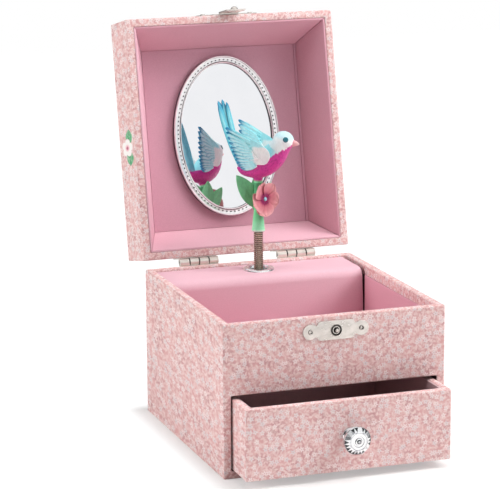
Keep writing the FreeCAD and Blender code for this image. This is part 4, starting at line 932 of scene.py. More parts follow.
def makeLidClasp():
    p, t = claspForm, tongueForm
    x, ro, ri, sink = t["halfX"], t["domeOuter"], t["domeInner"], t["domeSink"]
    joggle = p["lidZ"] - p["halfHeight"]
    tongue = carved([((-x, t["front"], t["low"]), (x, t["back"], joggle + t["step"])),
                     ((-x, t["front"], joggle), (x, p["face"], joggle + t["step"]))],
                    rods=[((0, t["front"] - past, p["z"]), (0, t["back"] + past, p["z"]), ri)],
                    bevel=t["soft"], steps=2)
    bm = bmesh.new()  # hollow dome that covers the ball
    reach, at = t["front"] - p["ballY"], outOfFront(0, t["front"], p["z"])
    foot = (ro + t["domeFoot"][0], t["domeFoot"][1])
    addTurned(bm, [(ri, sink), foot] + arcLine(ro, reach, t["domeFrom"], 90, t["arcSteps"]), t["steps"], at)
    addTurned(bm, arcLine(ri, reach, 90, t["domeFrom"], t["arcSteps"]) + [(ri, sink)], t["steps"], at)
    dome = meshOf(bm, "dome", t["joinWithin"])
    mesh = joined([claspPlate(p["lidZ"], "lidPlate"), tongue, dome], "lidClasp")
    place("lidClasp", mesh, "nickel", "lid", "nickel_plate", "lid_clasp", smooth=35)
    nails = nailPair("lidClaspNails", p["lidZ"])
    place("lidClaspNails", nails, "nickel", "lid", "nickel_plate", "lid_clasp_nails", smooth=45)


hingePinForm = {"starts": (-39.5, 17.5), "length": 22.0, "knuckles": 4, "gap": 0.3, "radius": 0.8, "seam": 2.17,
                "past": 0.17, "steps": 32}


def makeHingePins():
    # each pin with dark seams that show between the knuckles: painted shade in the gaps
    p = hingePinForm
    r, seam, length = p["radius"], p["seam"], p["length"]
    knuckle = (length - p["gap"] * (p["knuckles"] - 1)) / p["knuckles"]
    line = [(0, 0), (r, 0)]
    for k in range(1, p["knuckles"]):
        low = k * knuckle + (k - 1) * p["gap"] - p["past"]
        high = low + p["gap"] + 2 * p["past"]
        line += [(r, low), (seam, low), (seam, high), (r, high)]
    bm = bmesh.new()
    for start in p["starts"]:
        at = Matrix.Translation((start, lidSize["hingeY"], lidSize["hingeZ"])) @ turned(90, "Y")
        addTurned(bm, line + [(r, length), (0, length)], p["steps"], at)
    place("hingePins", meshOf(bm, "hingePins"), "claspShade", "case", "nickel_plate", "hinge_pins", smooth=35)


# crystal rings: radius, height, turn in sides; then the ringed table with the painted reflection tone up to each ring
knobForm = {"z": 22.75, "face": -66.0, "sides": 22, "steps": 48, "seat": 7.6, "tip": 4.96, "crown": 3,
            "base": [(0, 0), (4.4, 0), (4.4, 0.7), (4.1, 1.2), (3.3, 1.6), (2.75, 2.2), (2.6, 3.0), (2.65, 4.0),
                     (3.1, 4.9), (4.3, 5.8), (5.6, 6.3), (6.3, 6.7), (6.4, 7.2), (6.2, 7.6), (0, 7.6)],
            "rings": ((5.9, 0.0, 0), (7.1, 1.5, 0), (7.3, 2.1, 0.5), (7.081, 2.7, 0.5), (5.0, 4.15, 1),
                      (4.6, 4.3, 1)),
            "table": ((4.2, 4.22, "grey"), (3.4, 4.3, "light"), (2.9, 4.3, "light"), (2.75, 4.05, "grey"),
                      (1.9, 4.0, "light"), (1.75, 4.35, "dark"), (1.2, 4.7, "light"), (0.6, 4.9, "dark")),
            "light": (0.90, 0.91, 0.93), "dark": (0.02, 0.02, 0.024), "grey": (0.52, 0.53, 0.56)}


def makeKnob():
    p, n = knobForm, knobForm["sides"]
    front = outOfFront(0, p["face"], p["z"])
    place("knobBase", turnedMesh("knobBase", p["base"], p["steps"], front), "chrome", "drawer", "nickel_plate",
          "knob_base", smooth=35)
    # cut crystal: pavilion, girdle, crown of slanted facets, ringed table and a pip
    bm = bmesh.new()
    at = front @ Matrix.Translation((0, 0, p["seat"]))
    loops = [addRing(bm, at, r, h, n, turn) for r, h, turn in p["rings"]]
    rng = random.Random(11)
    tones = {}

    def facet(corners, tone):
        tones[bm.faces.new(corners)] = p[tone]

    facet(loops[0][::-1], "grey")
    for i, (a, b) in enumerate(zip(loops, loops[1:])):
        for k in range(n):
            j = (k + 1) % n
            if i == p["crown"]:  # painted reflections: one dark and one light triangle in each slanted facet
                facet([a[k], a[j], b[k]], "dark" if rng.random() < 0.55 else "light")
                facet([a[j], b[j], b[k]], "light" if rng.random() < 0.8 else "grey")
            else:
                facet([a[k], a[j], b[j], b[k]], "light" if (k + i) % 3 else "grey")
    last = loops[-1]
    for r, h, tone in p["table"]:
        ring = addRing(bm, at, r, h, n, 1)
        for k in range(n):
            facet([last[k], last[(k + 1) % n], ring[(k + 1) % n], ring[k]], tone)
        last = ring
    tip = addRing(bm, at, 0, p["tip"], n)
    for k in range(n):
        facet([last[k], last[(k + 1) % n], *tip], "grey")
    order = [tones[f] for f in bm.faces]
    mesh = meshOf(bm, "knobCrystal")
    layer = mesh.color_attributes.new("paint", "FLOAT_COLOR", "CORNER")
    for poly in mesh.polygons:
        for li in poly.loop_indices:
            layer.data[li].color = (*order[poly.index], 1.0)
    place("knobCrystal", mesh, "facets", "drawer", "cut_crystal", "knob_crystal", smooth=0)


keyForm = {"z": 26.0, "start": 66.8, "hub": 3.2, "length": 6.2, "plate": 2.0, "eyeAt": 6.82, "eyeY": 75.2,
           "eyeRadius": 4.5, "eyeHole": 2.0, "webLow": (-3.4, 72.0), "webHigh": (3.4, 76.2), "soft": 0.35,
           "hubSteps": 40, "eyeSteps": 36}


def makeKey():
    p = keyForm
    at = Matrix.Translation((0, p["start"], p["z"])) @ turned(-90, "X")
    r, n, h, ro, ri = p["hub"], p["length"], p["plate"] / 2, p["eyeRadius"], p["eyeHole"]
    hub = [(0, 0), (r - 0.3, 0), (r, 0.3), (r, 1.0), (r - 0.35, 1.25), (r - 0.35, 1.6), (r, 1.85), (r, n - 0.6),
           (r - 0.5, n), (0, n)]
    parts = [turnedMesh("keyHub", hub, p["hubSteps"], at),
             carved([((*p["webLow"], p["z"] - h), (*p["webHigh"], p["z"] + h))], bevel=p["soft"], steps=2)]
    edge = [(ri, h - 0.35), (ri + 0.3, h), (ro - 0.5, h), (ro - 0.12, h - 0.35)]  # rounded edge of the thumb rings
    line = [(q, -z) for q, z in edge] + [(ro, 0)] + edge[::-1]
    for x in (-p["eyeAt"], p["eyeAt"]):
        parts.append(turnedMesh("keyWing", line, p["eyeSteps"], Matrix.Translation((x, p["eyeY"], p["z"])), True))
    place("windingKey", joined(parts, "windingKey"), "nickel", "winder", "nickel_plate", "winding_key")


makeGrommet()
makeClasp()
makeLidClasp()
makeHingePins()
makeKnob()
makeKey()
print("metal fittings made")


# springs

springForm = {"mean": 2.15, "wire": 0.5, "turns": 20.0, "low": 78.15, "high": 101.15, "steps": 28, "sides": 9}
mainspringForm = {"inner": 2.9, "outer": 9.1, "turns": 6.5, "strip": 0.4, "width": 3.7, "steps": 32,
                  "y": 54.3, "z": 26.0}


def coilTree(name, flat):
    # a wound wire, or a wound flat strip, along a spiral
    tree, given = startTree(name, (("Turns", "Float"), ("Start Radius", "Float"), ("End Radius", "Float"),
                                   ("Height", "Float"), ("Steps", "Int"), ("Thickness", "Float"),
                                   ("Strip Width", "Float"), ("Sides", "Int"), ("Finish", "Material")))
    sizes = {label: given[label] for label in ("Start Radius", "End Radius", "Height")}
    path = addNode(tree, "GeometryNodeCurveSpiral",
                   {"Resolution": given["Steps"], "Rotations": given["Turns"], **sizes}).outputs[0]
    if flat:
        edge = addNode(tree, "GeometryNodeCurvePrimitiveQuadrilateral",
                       {"Width": given["Thickness"], "Height": given["Strip Width"]}, mode="RECTANGLE")
        path = addNode(tree, "GeometryNodeSetCurveNormal", {"Curve": path}, mode="Z_UP").outputs[0]
    else:
        edge = addNode(tree, "GeometryNodeCurvePrimitiveCircle",
                       {"Resolution": given["Sides"], "Radius": given["Thickness"]})
    tube = addNode(tree, "GeometryNodeCurveToMesh",
                   {"Curve": path, "Profile Curve": edge.outputs[0], "Fill Caps": True})
    return endTree(tree, tube, given["Finish"])


def makeSprings():
    p, q = springForm, mainspringForm
    mesh = grown(coilTree("figureSpring", False),
                 {"Turns": p["turns"], "Start Radius": p["mean"] * mm, "End Radius": p["mean"] * mm,
                  "Height": (p["high"] - p["low"]) * mm, "Steps": p["steps"], "Thickness": p["wire"] * mm,
                  "Sides": p["sides"], "Finish": finish["spring"]})
    mesh.transform(scaled(Matrix.Translation((0, spindle["y"], p["low"]))))
    mesh.polygons.foreach_set("use_smooth", [True] * len(mesh.polygons))
    obj = linked("figureSpring", mesh)
    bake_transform(obj)
    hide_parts("figure_spring")
    mesh = grown(coilTree("mainspring", True),
                 {"Turns": q["turns"], "Start Radius": q["inner"] * mm, "End Radius": q["outer"] * mm, "Height": 0.0,
                  "Steps": q["steps"], "Thickness": q["strip"] * mm, "Strip Width": q["width"] * mm,
                  "Finish": finish["steel"]})
    mesh.transform(scaled(outOfFront(0, q["y"] + q["width"] / 2, q["z"])))
    place("mainspring", mesh, "steel", "barrel", "steel", "mainspring")


makeSprings()
print("springs made")


# stem, leaves and blossom

stemForm = {"low": 100.05, "steps": 40, "branchSteps": 24, "profile": [
    (0.0, 0.9), (2.75, 0.9), (2.85, 0.1), (3.35, 0.0), (3.68, 0.25), (3.74, 0.75), (3.5, 1.25), (3.34, 2.2),
    (3.2, 4.2), (3.02, 6.4), (2.8, 8.6), (2.5, 10.6), (2.32, 13.0), (2.3, 19.0), (2.34, 25.0), (2.5, 27.0),
    (0.0, 27.3)],
    "branch": [(0, 0.5), (1.9, 0.5), (1.7, 1.8), (1.6, 3.0), (2.0, 4.0), (0, 4.1)]}
# leaves: fan and lean in degrees, height on the stem, length, width
leafForm = {"set": ((2, 14, 10.0, 20.2, 8.8), (32, 12, 11.0, 17.6, 7.7), (-31, 9, 13.2, 21.0, 9.6)), "thick": 1.1,
            "cup": 0.9, "curl": 1.1, "crease": 0.45, "rib": 0.27, "rows": 26, "across": 16, "tip": 0.02, "back": 0.92}
greenTones = {"pale": (0.34, 0.88, 0.52), "stem": (0.19, 0.74, 0.36), "leaf": (0.17, 0.66, 0.27),
              "deep": (0.07, 0.33, 0.14), "lip": (0.68, 0.92, 0.74)}
blossomForm = {"z": 118.45, "turn": radians(25.0), "offset": 3.7, "petals": 5, "length": 9.6, "width": 11.4,
               "thick": 1.1, "lift": 1.4, "overlap": 0.22, "root": 0.6, "rise": 0.9, "rows": 18, "across": 16,
               "tip": 0.02, "first": 126.0, "stagger": 0.12, "evenShare": 0.7, "heartSteps": 32,
               "heart": [(0, -0.2), (2.6, 0.0), (2.9, 0.8), (2.75, 1.35), (2.2, 1.55), (1.5, 1.45), (1.15, 1.5),
                         (1.05, 1.9), (0.7, 2.2), (0, 2.3)]}
blossomTones = {"petal": (0.600, 0.175, 0.220), "rim": (0.800, 0.400, 0.410), "throat": (0.47, 0.070, 0.140),
                "heart": (0.24, 0.006, 0.080), "pip": (0.36, 0.62, 0.74)}
blossomWay = Vector((sin(blossomForm["turn"]), -cos(blossomForm["turn"]), 0))


def addLeaf(bm, fan, lean, up, length, width):
    p = leafForm
    at = (Matrix.Translation((0, spindle["y"] + p["back"], stemForm["low"] + up))
          @ turned(-lean, "X") @ turned(fan, "Y"))

    def spot(i, t, face):
        s, side = i / p["rows"], abs(t)
        full = sin(pi * s)
        half = max(width / 2 * sin(pi * min(0.06 + 0.94 * s ** 0.92, 1.0)) ** 0.78, p["tip"])
        half = p["tip"] if i == p["rows"] else half
        bend = p["curl"] * s * s - p["cup"] * t * t * full
        crease = p["crease"] * exp(-(t / 0.11) ** 2) * (1 - s)
        ribs = p["rib"] * cos((s * 7.0 - side * 1.6) * 2 * pi) * side * (1 - side) * full
        thick = lensHeight(t, p["thick"] * (1 - 0.55 * s))
        return at @ Vector((half * t, bend + face * thick + crease + ribs, length * s))

    addBlade(bm, p["rows"], p["across"], spot)


def stemColour(at):
    g = greenTones
    z, out = at.z - stemForm["low"], hypot(at.x, at.y - spindle["y"])
    streak = cloudAt(at.x * 0.9, at.y * 0.9, at.z * 0.22)
    colour = mixed(g["stem"], g["leaf"], streak)
    if out > 2.9 and z > 10.0:
        colour = mixed(g["leaf"], g["pale"], 0.10 + 0.35 * streak)
        edge = cloudAt(at.x * 1.7, at.y * 1.7, at.z * 0.5)
        colour = mixed(colour, g["deep"], 0.35 * easing(edge, 0.55, 0.95))
    if out < 2.9 and z > 17.0:  # painted shade on the stem under the bird
        colour = mixed(colour, g["deep"], 0.85 * easing(z, 17.0, 23.0))
    if out < 4.0 and z < 10.0:
        colour = mixed(g["pale"], colour, easing(z, 1.5, 10.0))
    return g["lip"] if z < 1.1 else colour


def makeStem():
    bm = bmesh.new()
    addTurned(bm, stemForm["profile"], stemForm["steps"], Matrix.Translation((0, spindle["y"], stemForm["low"])))
    for leaf in leafForm["set"]:
        addLeaf(bm, *leaf)
    at = (Matrix.Translation((0, spindle["y"], blossomForm["z"]))
          @ blossomWay.to_track_quat("Z", "Y").to_matrix().to_4x4())
    addTurned(bm, stemForm["branch"], stemForm["branchSteps"], at)  # short branch to the blossom
    mesh = meshOf(bm, "flowerStem")
    paintVerts(mesh, stemColour)
    place("flowerStem", mesh, "paint", "figure", "stem_green", "flower_stem", smooth=60)


def makeBlossom():
    p, c, up = blossomForm, blossomTones, Vector((0, 0, 1))
    at = Matrix((up.cross(blossomWay), up, blossomWay)).transposed().to_4x4()
    at.translation = Vector((0, spindle["y"], p["z"])) + blossomWay * p["offset"]
    bm = bmesh.new()
    for k in range(p["petals"]):
        base = (at @ turned(p["first"] + 360 / p["petals"] * k, "Z")
                @ Matrix.Translation((0, 0, p["stagger"] * (k % 3)))
                @ Matrix.Rotation(p["overlap"] * (1 if k % 2 else p["evenShare"]), 4, "X"))

        def spot(i, t, face):
            s = i / p["rows"]
            half = p["width"] / 2 * sin(pi * min(0.10 + 0.90 * s ** 0.9, 1.0) ** 1.7) ** 0.6 if s < 1 else p["tip"]
            notch = 0.35 * exp(-(t / 0.3) ** 2) * easing(s, 0.75, 1.0)
            lift = p["lift"] * s * s - 0.9 * s * (1 - s) * (1 - t * t) + 0.5 * t * t * s
            ripple = 0.10 * sin(t * 13 + k) * easing(s, 0.3, 0.9) + 0.08 * cos(t * 9.4) * s
            high = p["rise"] + lift + ripple + face * lensHeight(t, p["thick"] * (1 - 0.45 * s))
            return base @ Vector((between((p["root"], p["length"]), s) - notch, half * t, high))

        addBlade(bm, p["rows"], p["across"], spot)
    addTurned(bm, p["heart"], p["heartSteps"], at)
    mesh = meshOf(bm, "blossom")
    back = at.inverted()

    def pink(at):
        local = back @ at
        out = hypot(local.x, local.y)
        grain = cloudAt(local.x * 0.6, local.y * 0.6, local.z)
        colour = mixed(c["petal"], c["rim"], easing(out, 5.5, 9.0) * 0.75 + 0.2 * grain)
        colour = mixed(c["throat"], colour, easing(out, 2.6, 5.6))
        if out < 4.6 and local.z > 0.4:  # dark heart with short rays
            ray = 0.5 + 0.5 * cos(20 * atan2(local.y, local.x))
            colour = mixed(c["heart"], colour, easing(out, 2.7, 3.3 + 1.3 * ray))
        return c["pip"] if out < 1.1 and local.z > 1.6 else colour

    paintVerts(mesh, pink)
    place("blossom", mesh, "paint", "figure", "blossom_pink", "blossom", smooth=55)


makeStem()
makeBlossom()
print("stem and blossom made")


# bird

birdForm = {"heading": -34.0, "foot": 127.05,
            "head": (14.2, 0.0, 23.1), "headRadius": 5.6, "headShape": (1.04, 0.98, 1.0),
            "footing": [(0, -1.0), (2.5, -1.0), (2.45, 1.5), (2.9, 3.6), (0, 3.7)], "footSteps": 24, "sections": 40,
            "voxel": 0.36, "ease": (0.6, 14),
            "beakLength": 6.3, "beakWide": 1.95, "beakHigh": 2.15, "beakRows": 14, "beakSides": 24,
            "beakRoot": (2.632, 0, -0.7), "eyeRadius": 1.5, "eyeSteps": 28, "eyeWay": (0.42, 0.86, 0.30),
            "eyeSink": 0.28,
            "eye": ((0, -0.6), (1, -0.5), (1, 0.12), (0.93, 0.3), (0.7, 0.45), (0.35, 0.54), (0, 0.57))}
birdTones = {"crown": (0.50, 0.80, 0.88), "cheek": (0.92, 0.955, 0.96), "magenta": (0.67, 0.046, 0.320),
             "plum": (0.30, 0.014, 0.165), "back": (0.34, 0.80, 0.87), "wing": (0.290, 0.840, 0.930),
             "wingPale": (0.540, 0.950, 0.975), "shaftHighlight": (0.80, 0.985, 0.99), "blue": (0.010, 0.255, 0.470),
             "tail": (0.095, 0.520, 0.640), "tailPale": (0.260, 0.740, 0.820), "cream": (0.96, 0.955, 0.94),
             "beak": (0.90, 0.42, 0.46), "beakTip": (0.92, 0.56, 0.56), "eye": (0.004, 0.130, 0.175)}
birdPlace = (Matrix.Translation((0, spindle["y"], birdForm["foot"]))
             @ turned(birdForm["heading"], "Z"))
birdLocal = birdPlace.inverted()

# body sections: x, z of the middle, half depth across the spine, half width
bodySections = [(-11.6, 8.0, 0.7, 0.9), (-10.2, 7.2, 1.7, 2.1), (-7.8, 6.6, 3.2, 3.7), (-4.2, 7.2, 5.0, 5.3),
                (0.4, 8.9, 6.7, 6.7), (5.0, 11.9, 7.4, 7.2), (9.0, 15.4, 6.9, 6.7), (11.8, 18.8, 5.9, 5.9),
                (13.4, 21.6, 5.4, 5.5), (14.2, 23.4, 5.2, 5.3), (14.6, 25.2, 4.2, 4.3)]


def addLoft(bm, sections, steps=28):
    loops = []
    for i, (x, z, deep, wide) in enumerate(sections):
        a, b = sections[max(i - 1, 0)], sections[min(i + 1, len(sections) - 1)]
        along = Vector((b[0] - a[0], 0, b[1] - a[1])).normalized()
        ring = [(deep * cos(q), wide * sin(q)) for q in [2 * pi * k / steps for k in range(steps)]]
        loops.append([bm.verts.new(Vector((x - along.z * up, out, z + along.x * up)) * mm) for up, out in ring])
    addClosed(bm, loops)


def makeBirdBody():
    p = birdForm
    bm = bmesh.new()
    addLoft(bm, [tuple(v) for v in throughPoints(bodySections, p["sections"])])
    solid = tempObject(bm, "birdBody")
    bm = bmesh.new()  # the head and the foot join the body in the remesh
    head = bmesh.ops.create_uvsphere(bm, u_segments=32, v_segments=20, radius=p["headRadius"] * mm)
    bmesh.ops.scale(bm, vec=p["headShape"], verts=head["verts"])
    bmesh.ops.translate(bm, vec=Vector(p["head"]) * mm, verts=head["verts"])
    addTurned(bm, p["footing"], p["footSteps"])
    more = tempObject(bm, "birdHead")
    combined(solid, "UNION", more)
    lump = solid.modifiers.new("lump", "REMESH")
    lump.mode, lump.voxel_size = "VOXEL", p["voxel"] * mm
    ease = solid.modifiers.new("ease", "SMOOTH")
    ease.factor, ease.iterations = p["ease"]
    return settled(solid, [more])


# wing edges from root to tip, and two rows of feathers with their span, place across, size and lift
wingLead = [(7.2, 12.2), (9.0, 15.6), (8.2, 19.4), (4.2, 23.0), (-1.4, 26.0), (-6.4, 28.8), (-11.0, 31.0),
            (-14.4, 31.9)]
wingTrail = [(5.2, 11.0), (2.2, 10.2), (-2.4, 9.4), (-6.8, 8.0), (-9.6, 11.0), (-11.8, 16.8), (-13.4, 24.0),
             (-14.6, 31.6)]
wingForm = {"out": 6.1, "spread": 0.315, "bulge": 1.2, "thick": 1.3, "along": 40, "across": 24, "plateEnd": 0.84,
            "plateTrail": 0.84, "tilt": 0.34, "lean": (152.0, 196.0), "pathSteps": 5,
            "flights": {"count": 12, "span": (0.995, 0.44), "first": 0.5, "at": 1.0, "half": 1.25, "thick": 1.0,
                        "long": (15.0, 8.5), "lift": 0.30},
            "coverts": {"count": 8, "span": (0.90, 0.44), "first": 0.60, "at": 0.60, "half": 1.55, "thick": 1.0,
                        "long": (11.0, 5.5), "lift": 0.70}}
wingEdges = [throughPoints([(x, z, 0) for x, z in edge], 60) for edge in (wingLead, wingTrail)]


def wingSpot(s, t):
    # root to tip by s, leading to trailing edge by t
    lead, trail = wingEdges
    f = s * (len(lead) - 1)
    k = min(int(f), len(lead) - 2)
    return lead[k].lerp(lead[k + 1], f - k).lerp(trail[k].lerp(trail[k + 1], f - k), t)


def wingOut(x, z):
    p = wingForm
    return p["out"] + p["spread"] * (z - 8.0) + p["bulge"] * exp(-((x - 2.0) / 8.0) ** 2 - ((z - 16.0) / 8.0) ** 2)


def addFeather(bm, tints, path, outward, half, thick, colourAt, steps=22, sides=8):
    # one feather: a lens-shaped blade along its path with a raised shaft and a rounded tip
    line = throughPoints(path, steps + 1)

    def spot(i, a, face):
        s = i / steps
        along = (line[min(i + 1, steps)] - line[max(i - 1, 0)]).normalized()
        side = outward.cross(along).normalized()
        wide = half * min(1.0, 0.5 + 1.4 * s) * sqrt(max(0.0004, 1 - max(0.0, (s - 0.66) / 0.34) ** 2))
        high = lensHeight(a, thick * (1 - 0.5 * s), 0.18) + 0.13 * exp(-(a / 0.2) ** 2) * (1 - s)
        at = line[i] + side * wide * a + outward * face * high
        tints.append(colourAt(s, a, at))
        return at

    addBlade(bm, steps, sides, spot)


def wingTint(at, darkness, shaftHighlight=0.0):
    # pale turquoise with a cream shoulder; darkness brings in the deep blue, shaftHighlight a painted highlight along
    # the shafts
    c = birdTones
    cloud = cloudAt(at.x * 0.25, at.z * 0.25, at.y * 0.3)
    fine = cloudAt(at.x * 0.9, at.z * 0.9, at.y)
    colour = mixed(c["wing"], c["wingPale"], 0.25 + 0.6 * cloud)
    colour = mixed(colour, c["shaftHighlight"], shaftHighlight)
    colour = mixed(colour, c["blue"], min(1.0, darkness * (0.75 + 0.5 * fine)))
    rag = 1.3 * noise.noise(Vector((at.z * 0.9, at.x * 0.5, 1.1)))
    rag += 0.6 * noise.noise(Vector((at.z * 2.2, at.x, 5.0)))
    patch = easing(at.x + rag + 0.10 * (at.z - 15), -0.4, 0.6) * easing(21.6 + 0.3 * rag - at.z, -0.4, 0.9)
    return mixed(colour, mixed(c["cream"], c["wingPale"], 0.22 * cloud), patch)


def flightTint(s, a, at):
    darkness = 0.95 * easing(s, 0.68, 0.94) + 0.5 * easing(abs(a), 0.62, 1.0) * easing(s, 0.25, 0.6)
    # the third value is a painted highlight along the shaft
    return wingTint(at, darkness, 0.7 * exp(-(a / 0.34) ** 2) * easing(s, 0.1, 0.4))


def covertTint(s, a, at):
    darkness = 0.30 * easing(s, 0.72, 1.0) + 0.30 * easing(abs(a), 0.66, 1.0) * easing(s, 0.2, 0.6)
    # the third value is a painted highlight along the shaft
    return wingTint(at, darkness, 0.55 * exp(-(a / 0.4) ** 2))


def addWing(bm, tints, side):
    p = wingForm
    outward = Vector((0, side, -p["spread"])).normalized()

    def onWing(x, z, lift):
        return Vector((x, side * wingOut(x, z), z)) + outward * lift

    def plate(i, a, face):  # the solid part under the feathers
        s, t = i / p["along"], (a + 1) / 2
        swell = sqrt(sin(pi * min(max(t, 0.02), 0.98))) * sqrt(min(1.0, 0.1 + 5 * s)) * (1 - 0.6 * s)
        flat = wingSpot(p["plateEnd"] * s, p["plateTrail"] * t)
        at = onWing(flat.x, flat.y, face * p["thick"] / 2 * swell)
        tints.append(wingTint(at, 0.0))
        return at

    def feather(row, k, face, tint):
        # runs back along the wing from its tip, fanned out along its row and tilted like a roof tile
        q = k / (row["count"] - 1)
        end = wingSpot(between(row["span"], q), row["at"] if k else row["first"])
        way = radians(between(p["lean"], q))
        path = []
        for i in range(p["pathSteps"] + 1):
            share = i / p["pathSteps"]
            back = between(row["long"], q) * (1 - share)
            path.append(onWing(end.x - cos(way) * back,
                               end.y - sin(way) * back - 0.5 * sin(pi * share), row["lift"] * face))
        tilted = outward + Vector((0, 0, 1)).cross(outward).cross(outward) * p["tilt"] * face
        addFeather(bm, tints, path, tilted.normalized(), row["half"], row["thick"], tint)

    addBlade(bm, p["along"], p["across"], plate)
    for face in (1, -1):
        for row, tint in ((p["flights"], flightTint), (p["coverts"], covertTint)):
            for k in range(row["count"]):
                feather(row, k, face, tint)


# tail feathers: place across, x and z of the tip; the middle one comes last, on top
tailForm = {"root": (-8.4, 0, 6.0), "tips": ((-2, -20.0, 42.4), (2, -20.0, 42.4), (-1, -21.2, 44.3), (1, -21.2, 44.3),
                                             (0, -21.6, 43.4)), "pathSteps": 5, "rootSpread": 0.45, "spread": 1.3,
            "half": 1.6, "thick": 1.1, "bow": 1.5, "layer": 0.3, "outward": (-0.947, 0.0, -0.32), "twist": -45.0}


def tailTint(s, a, at):
    c = birdTones
    fine = cloudAt(at.y * 1.3, at.z * 0.3, 7.0)
    colour = mixed(c["tail"], c["tailPale"], 0.2 + 0.6 * fine)
    # a painted highlight along each feather's shaft
    colour = mixed(colour, c["wingPale"], 0.55 * exp(-(a / 0.35) ** 2) * easing(s, 0.2, 0.5))
    darkness = 0.85 * easing(s + 0.12 * fine, 0.84, 1.06) + 0.5 * easing(abs(a), 0.62, 1.0) * easing(s, 0.3, 0.8)
    colour = mixed(colour, c["blue"], min(1.0, darkness))
    return mixed(mixed(c["magenta"], c["plum"], 0.3), colour, easing(at.z + 2 * fine, 8.5, 11.0))


def addTail(bm, tints):
    p = tailForm
    root = Vector(p["root"])
    middle = Vector((p["tips"][-1][1], 0, p["tips"][-1][2]))
    turn = Matrix.Rotation(radians(p["twist"]), 3, middle - root)
    outward = turn @ Vector(p["outward"]).normalized()
    across = turn @ Vector((0, 1, 0))
    for k, x, z in p["tips"]:
        start, end = root + across * p["rootSpread"] * k, Vector((x, 0, z)) + across * p["spread"] * k
        shares = [i / p["pathSteps"] for i in range(p["pathSteps"] + 1)]
        path = [start.lerp(end, q) + outward * (p["bow"] * sin(pi * q) - p["layer"] * abs(k) * q)
                for q in shares]
        addFeather(bm, tints, path, outward, p["half"], p["thick"], tailTint)


def addBeak(bm, tints):
    # short blunt beak with a parting line
    p, c = birdForm, birdTones
    root = Vector(p["head"]) + Vector(p["beakRoot"])
    loops = []
    for i in range(p["beakRows"] + 1):
        s = i / p["beakRows"]
        x = s * p["beakLength"]
        fall = 0.02 * x + 0.012 * x * x
        size = max(0.03, (1 - s ** 2.0) ** 0.7)
        loops.append([])
        for q in [2 * pi * k / p["beakSides"] for k in range(p["beakSides"])]:
            pinch = 1 - 0.14 * exp(-((sin(q) + 0.1) / 0.12) ** 2)
            at = root + Vector((x, p["beakWide"] * size * cos(q) * pinch, p["beakHigh"] * size * sin(q) - fall))
            loops[-1].append(bm.verts.new(at * mm))
            tints.append(mixed(c["beak"], c["beakTip"], easing(s, 0.4, 1.0)))
    addClosed(bm, loops)


def bodyColour(at):
    c = birdTones
    p = birdLocal @ at
    ragged = 0.9 * noise.noise(Vector((p.x * 1.1, p.y * 0.9, p.z * 0.35)))
    ragged += 0.7 * noise.noise(Vector((p.x * 2.3, p.y * 2.1, 3.7)))
    line = max(10.2 + (p.x + 2.0) * 0.50 + 0.6 * easing(p.x, 11.0, 18.0) + ragged * easing(p.x, 4.0, 10.0), 9.0)
    below = easing(line - p.z, -0.25, 0.25)
    streak = cloudAt(p.x * 0.5 + p.z * 0.5, p.y * 1.3, (p.z - p.x) * 0.9)
    belly = mixed(c["magenta"], c["plum"], 0.55 * easing(streak, 0.45, 0.9) + 0.4 * easing(-p.x, -2.0, 9.0))
    top = mixed(c["back"], c["cheek"], easing(p.x, 8.0, 13.5))
    if (p - Vector(birdForm["head"])).length < 8.0:
        crown = easing(p.z + 0.25 * p.x, 27.6, 30.0)
        top = mixed(c["cheek"], c["crown"], 0.75 * crown + 0.25 * easing(11.0 - p.x, -1.5, 3.0))
    colour = mixed(top, belly, below)
    if p.z < 2.0 and hypot(p.x, p.y) < 3.2:
        colour = mixed(greenTones["stem"], colour, easing(p.z, 0.4, 1.8))
    return colour


def makeBird():
    p, r = birdForm, birdForm["headRadius"]
    body = makeBirdBody()
    body.transform(scaled(birdPlace))
    paintVerts(body, bodyColour)
    parts = [body]
    for builder in (lambda bm, t: addWing(bm, t, -1), lambda bm, t: addWing(bm, t, 1), addTail, addBeak):
        bm = bmesh.new()
        tints = []
        builder(bm, tints)
        mesh = meshOf(bm, "birdPart")
        layer = mesh.color_attributes.new("paint", "FLOAT_COLOR", "POINT")
        for k, tint in enumerate(tints):
            layer.data[k].color = (*tint, 1.0)
        mesh.transform(scaled(birdPlace))
        parts.append(mesh)
    place("bird", joined(parts, "bird"), "paint", "figure", "bird_blue", "bird", smooth=70)
    bm = bmesh.new()  # painted domed eyes
    for side in (-1, 1):
        x, y, z = p["eyeWay"]
        out = Vector((x, side * y, z)).normalized()
        at = Vector(p["head"]) + Vector((out.x * 1.03, out.y * 0.97, out.z)) * r - out * p["eyeSink"]
        addTurned(bm, [(share * p["eyeRadius"], h) for share, h in p["eye"]], p["eyeSteps"],
                  Matrix.Translation(at) @ out.to_track_quat("Z", "Y").to_matrix().to_4x4())
    mesh = meshOf(bm, "birdEyes")
    mesh.transform(scaled(birdPlace))
    paintVerts(mesh, lambda at: birdTones["eye"])
    place("birdEyes", mesh, "eyePaint", "figure", "bird_blue", "bird", smooth=60)


makeBird()
print("bird made")


# CAD nodes that stay, with their finishes

# the hinge leaves get a lighter copy of the nickel plate, as painted light
keptFinish = {"board": "compartment_floor chamber_partition", "hingePlateLit": "hinge_case_leaves hinge_lid_leaves",
              "nickel": "hinge_case_nails hinge_lid_nails", "wood": "drawer_stop_pins", "zinc": "movement_bedplate",
              "steel": "movement_screws music_comb comb_screws top_bridge governor_bracket knob_screw cylinder_arbor "
                       "winding_arbor",
              "brass": "pinned_cylinder cylinder_gear spring_barrel governor_wheel governor_fan"}
for tone, nodes in keptFinish.items():
    for node in nodes.split():
        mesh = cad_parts[node].data
        if not mesh.materials:
            mesh.materials.append(finish[tone])
        for k in range(len(mesh.materials)):
            mesh.materials[k] = finish[tone]
print("carried-over nodes finished:", sum(len(nodes.split()) for nodes in keptFinish.values()))


# floor, light and camera

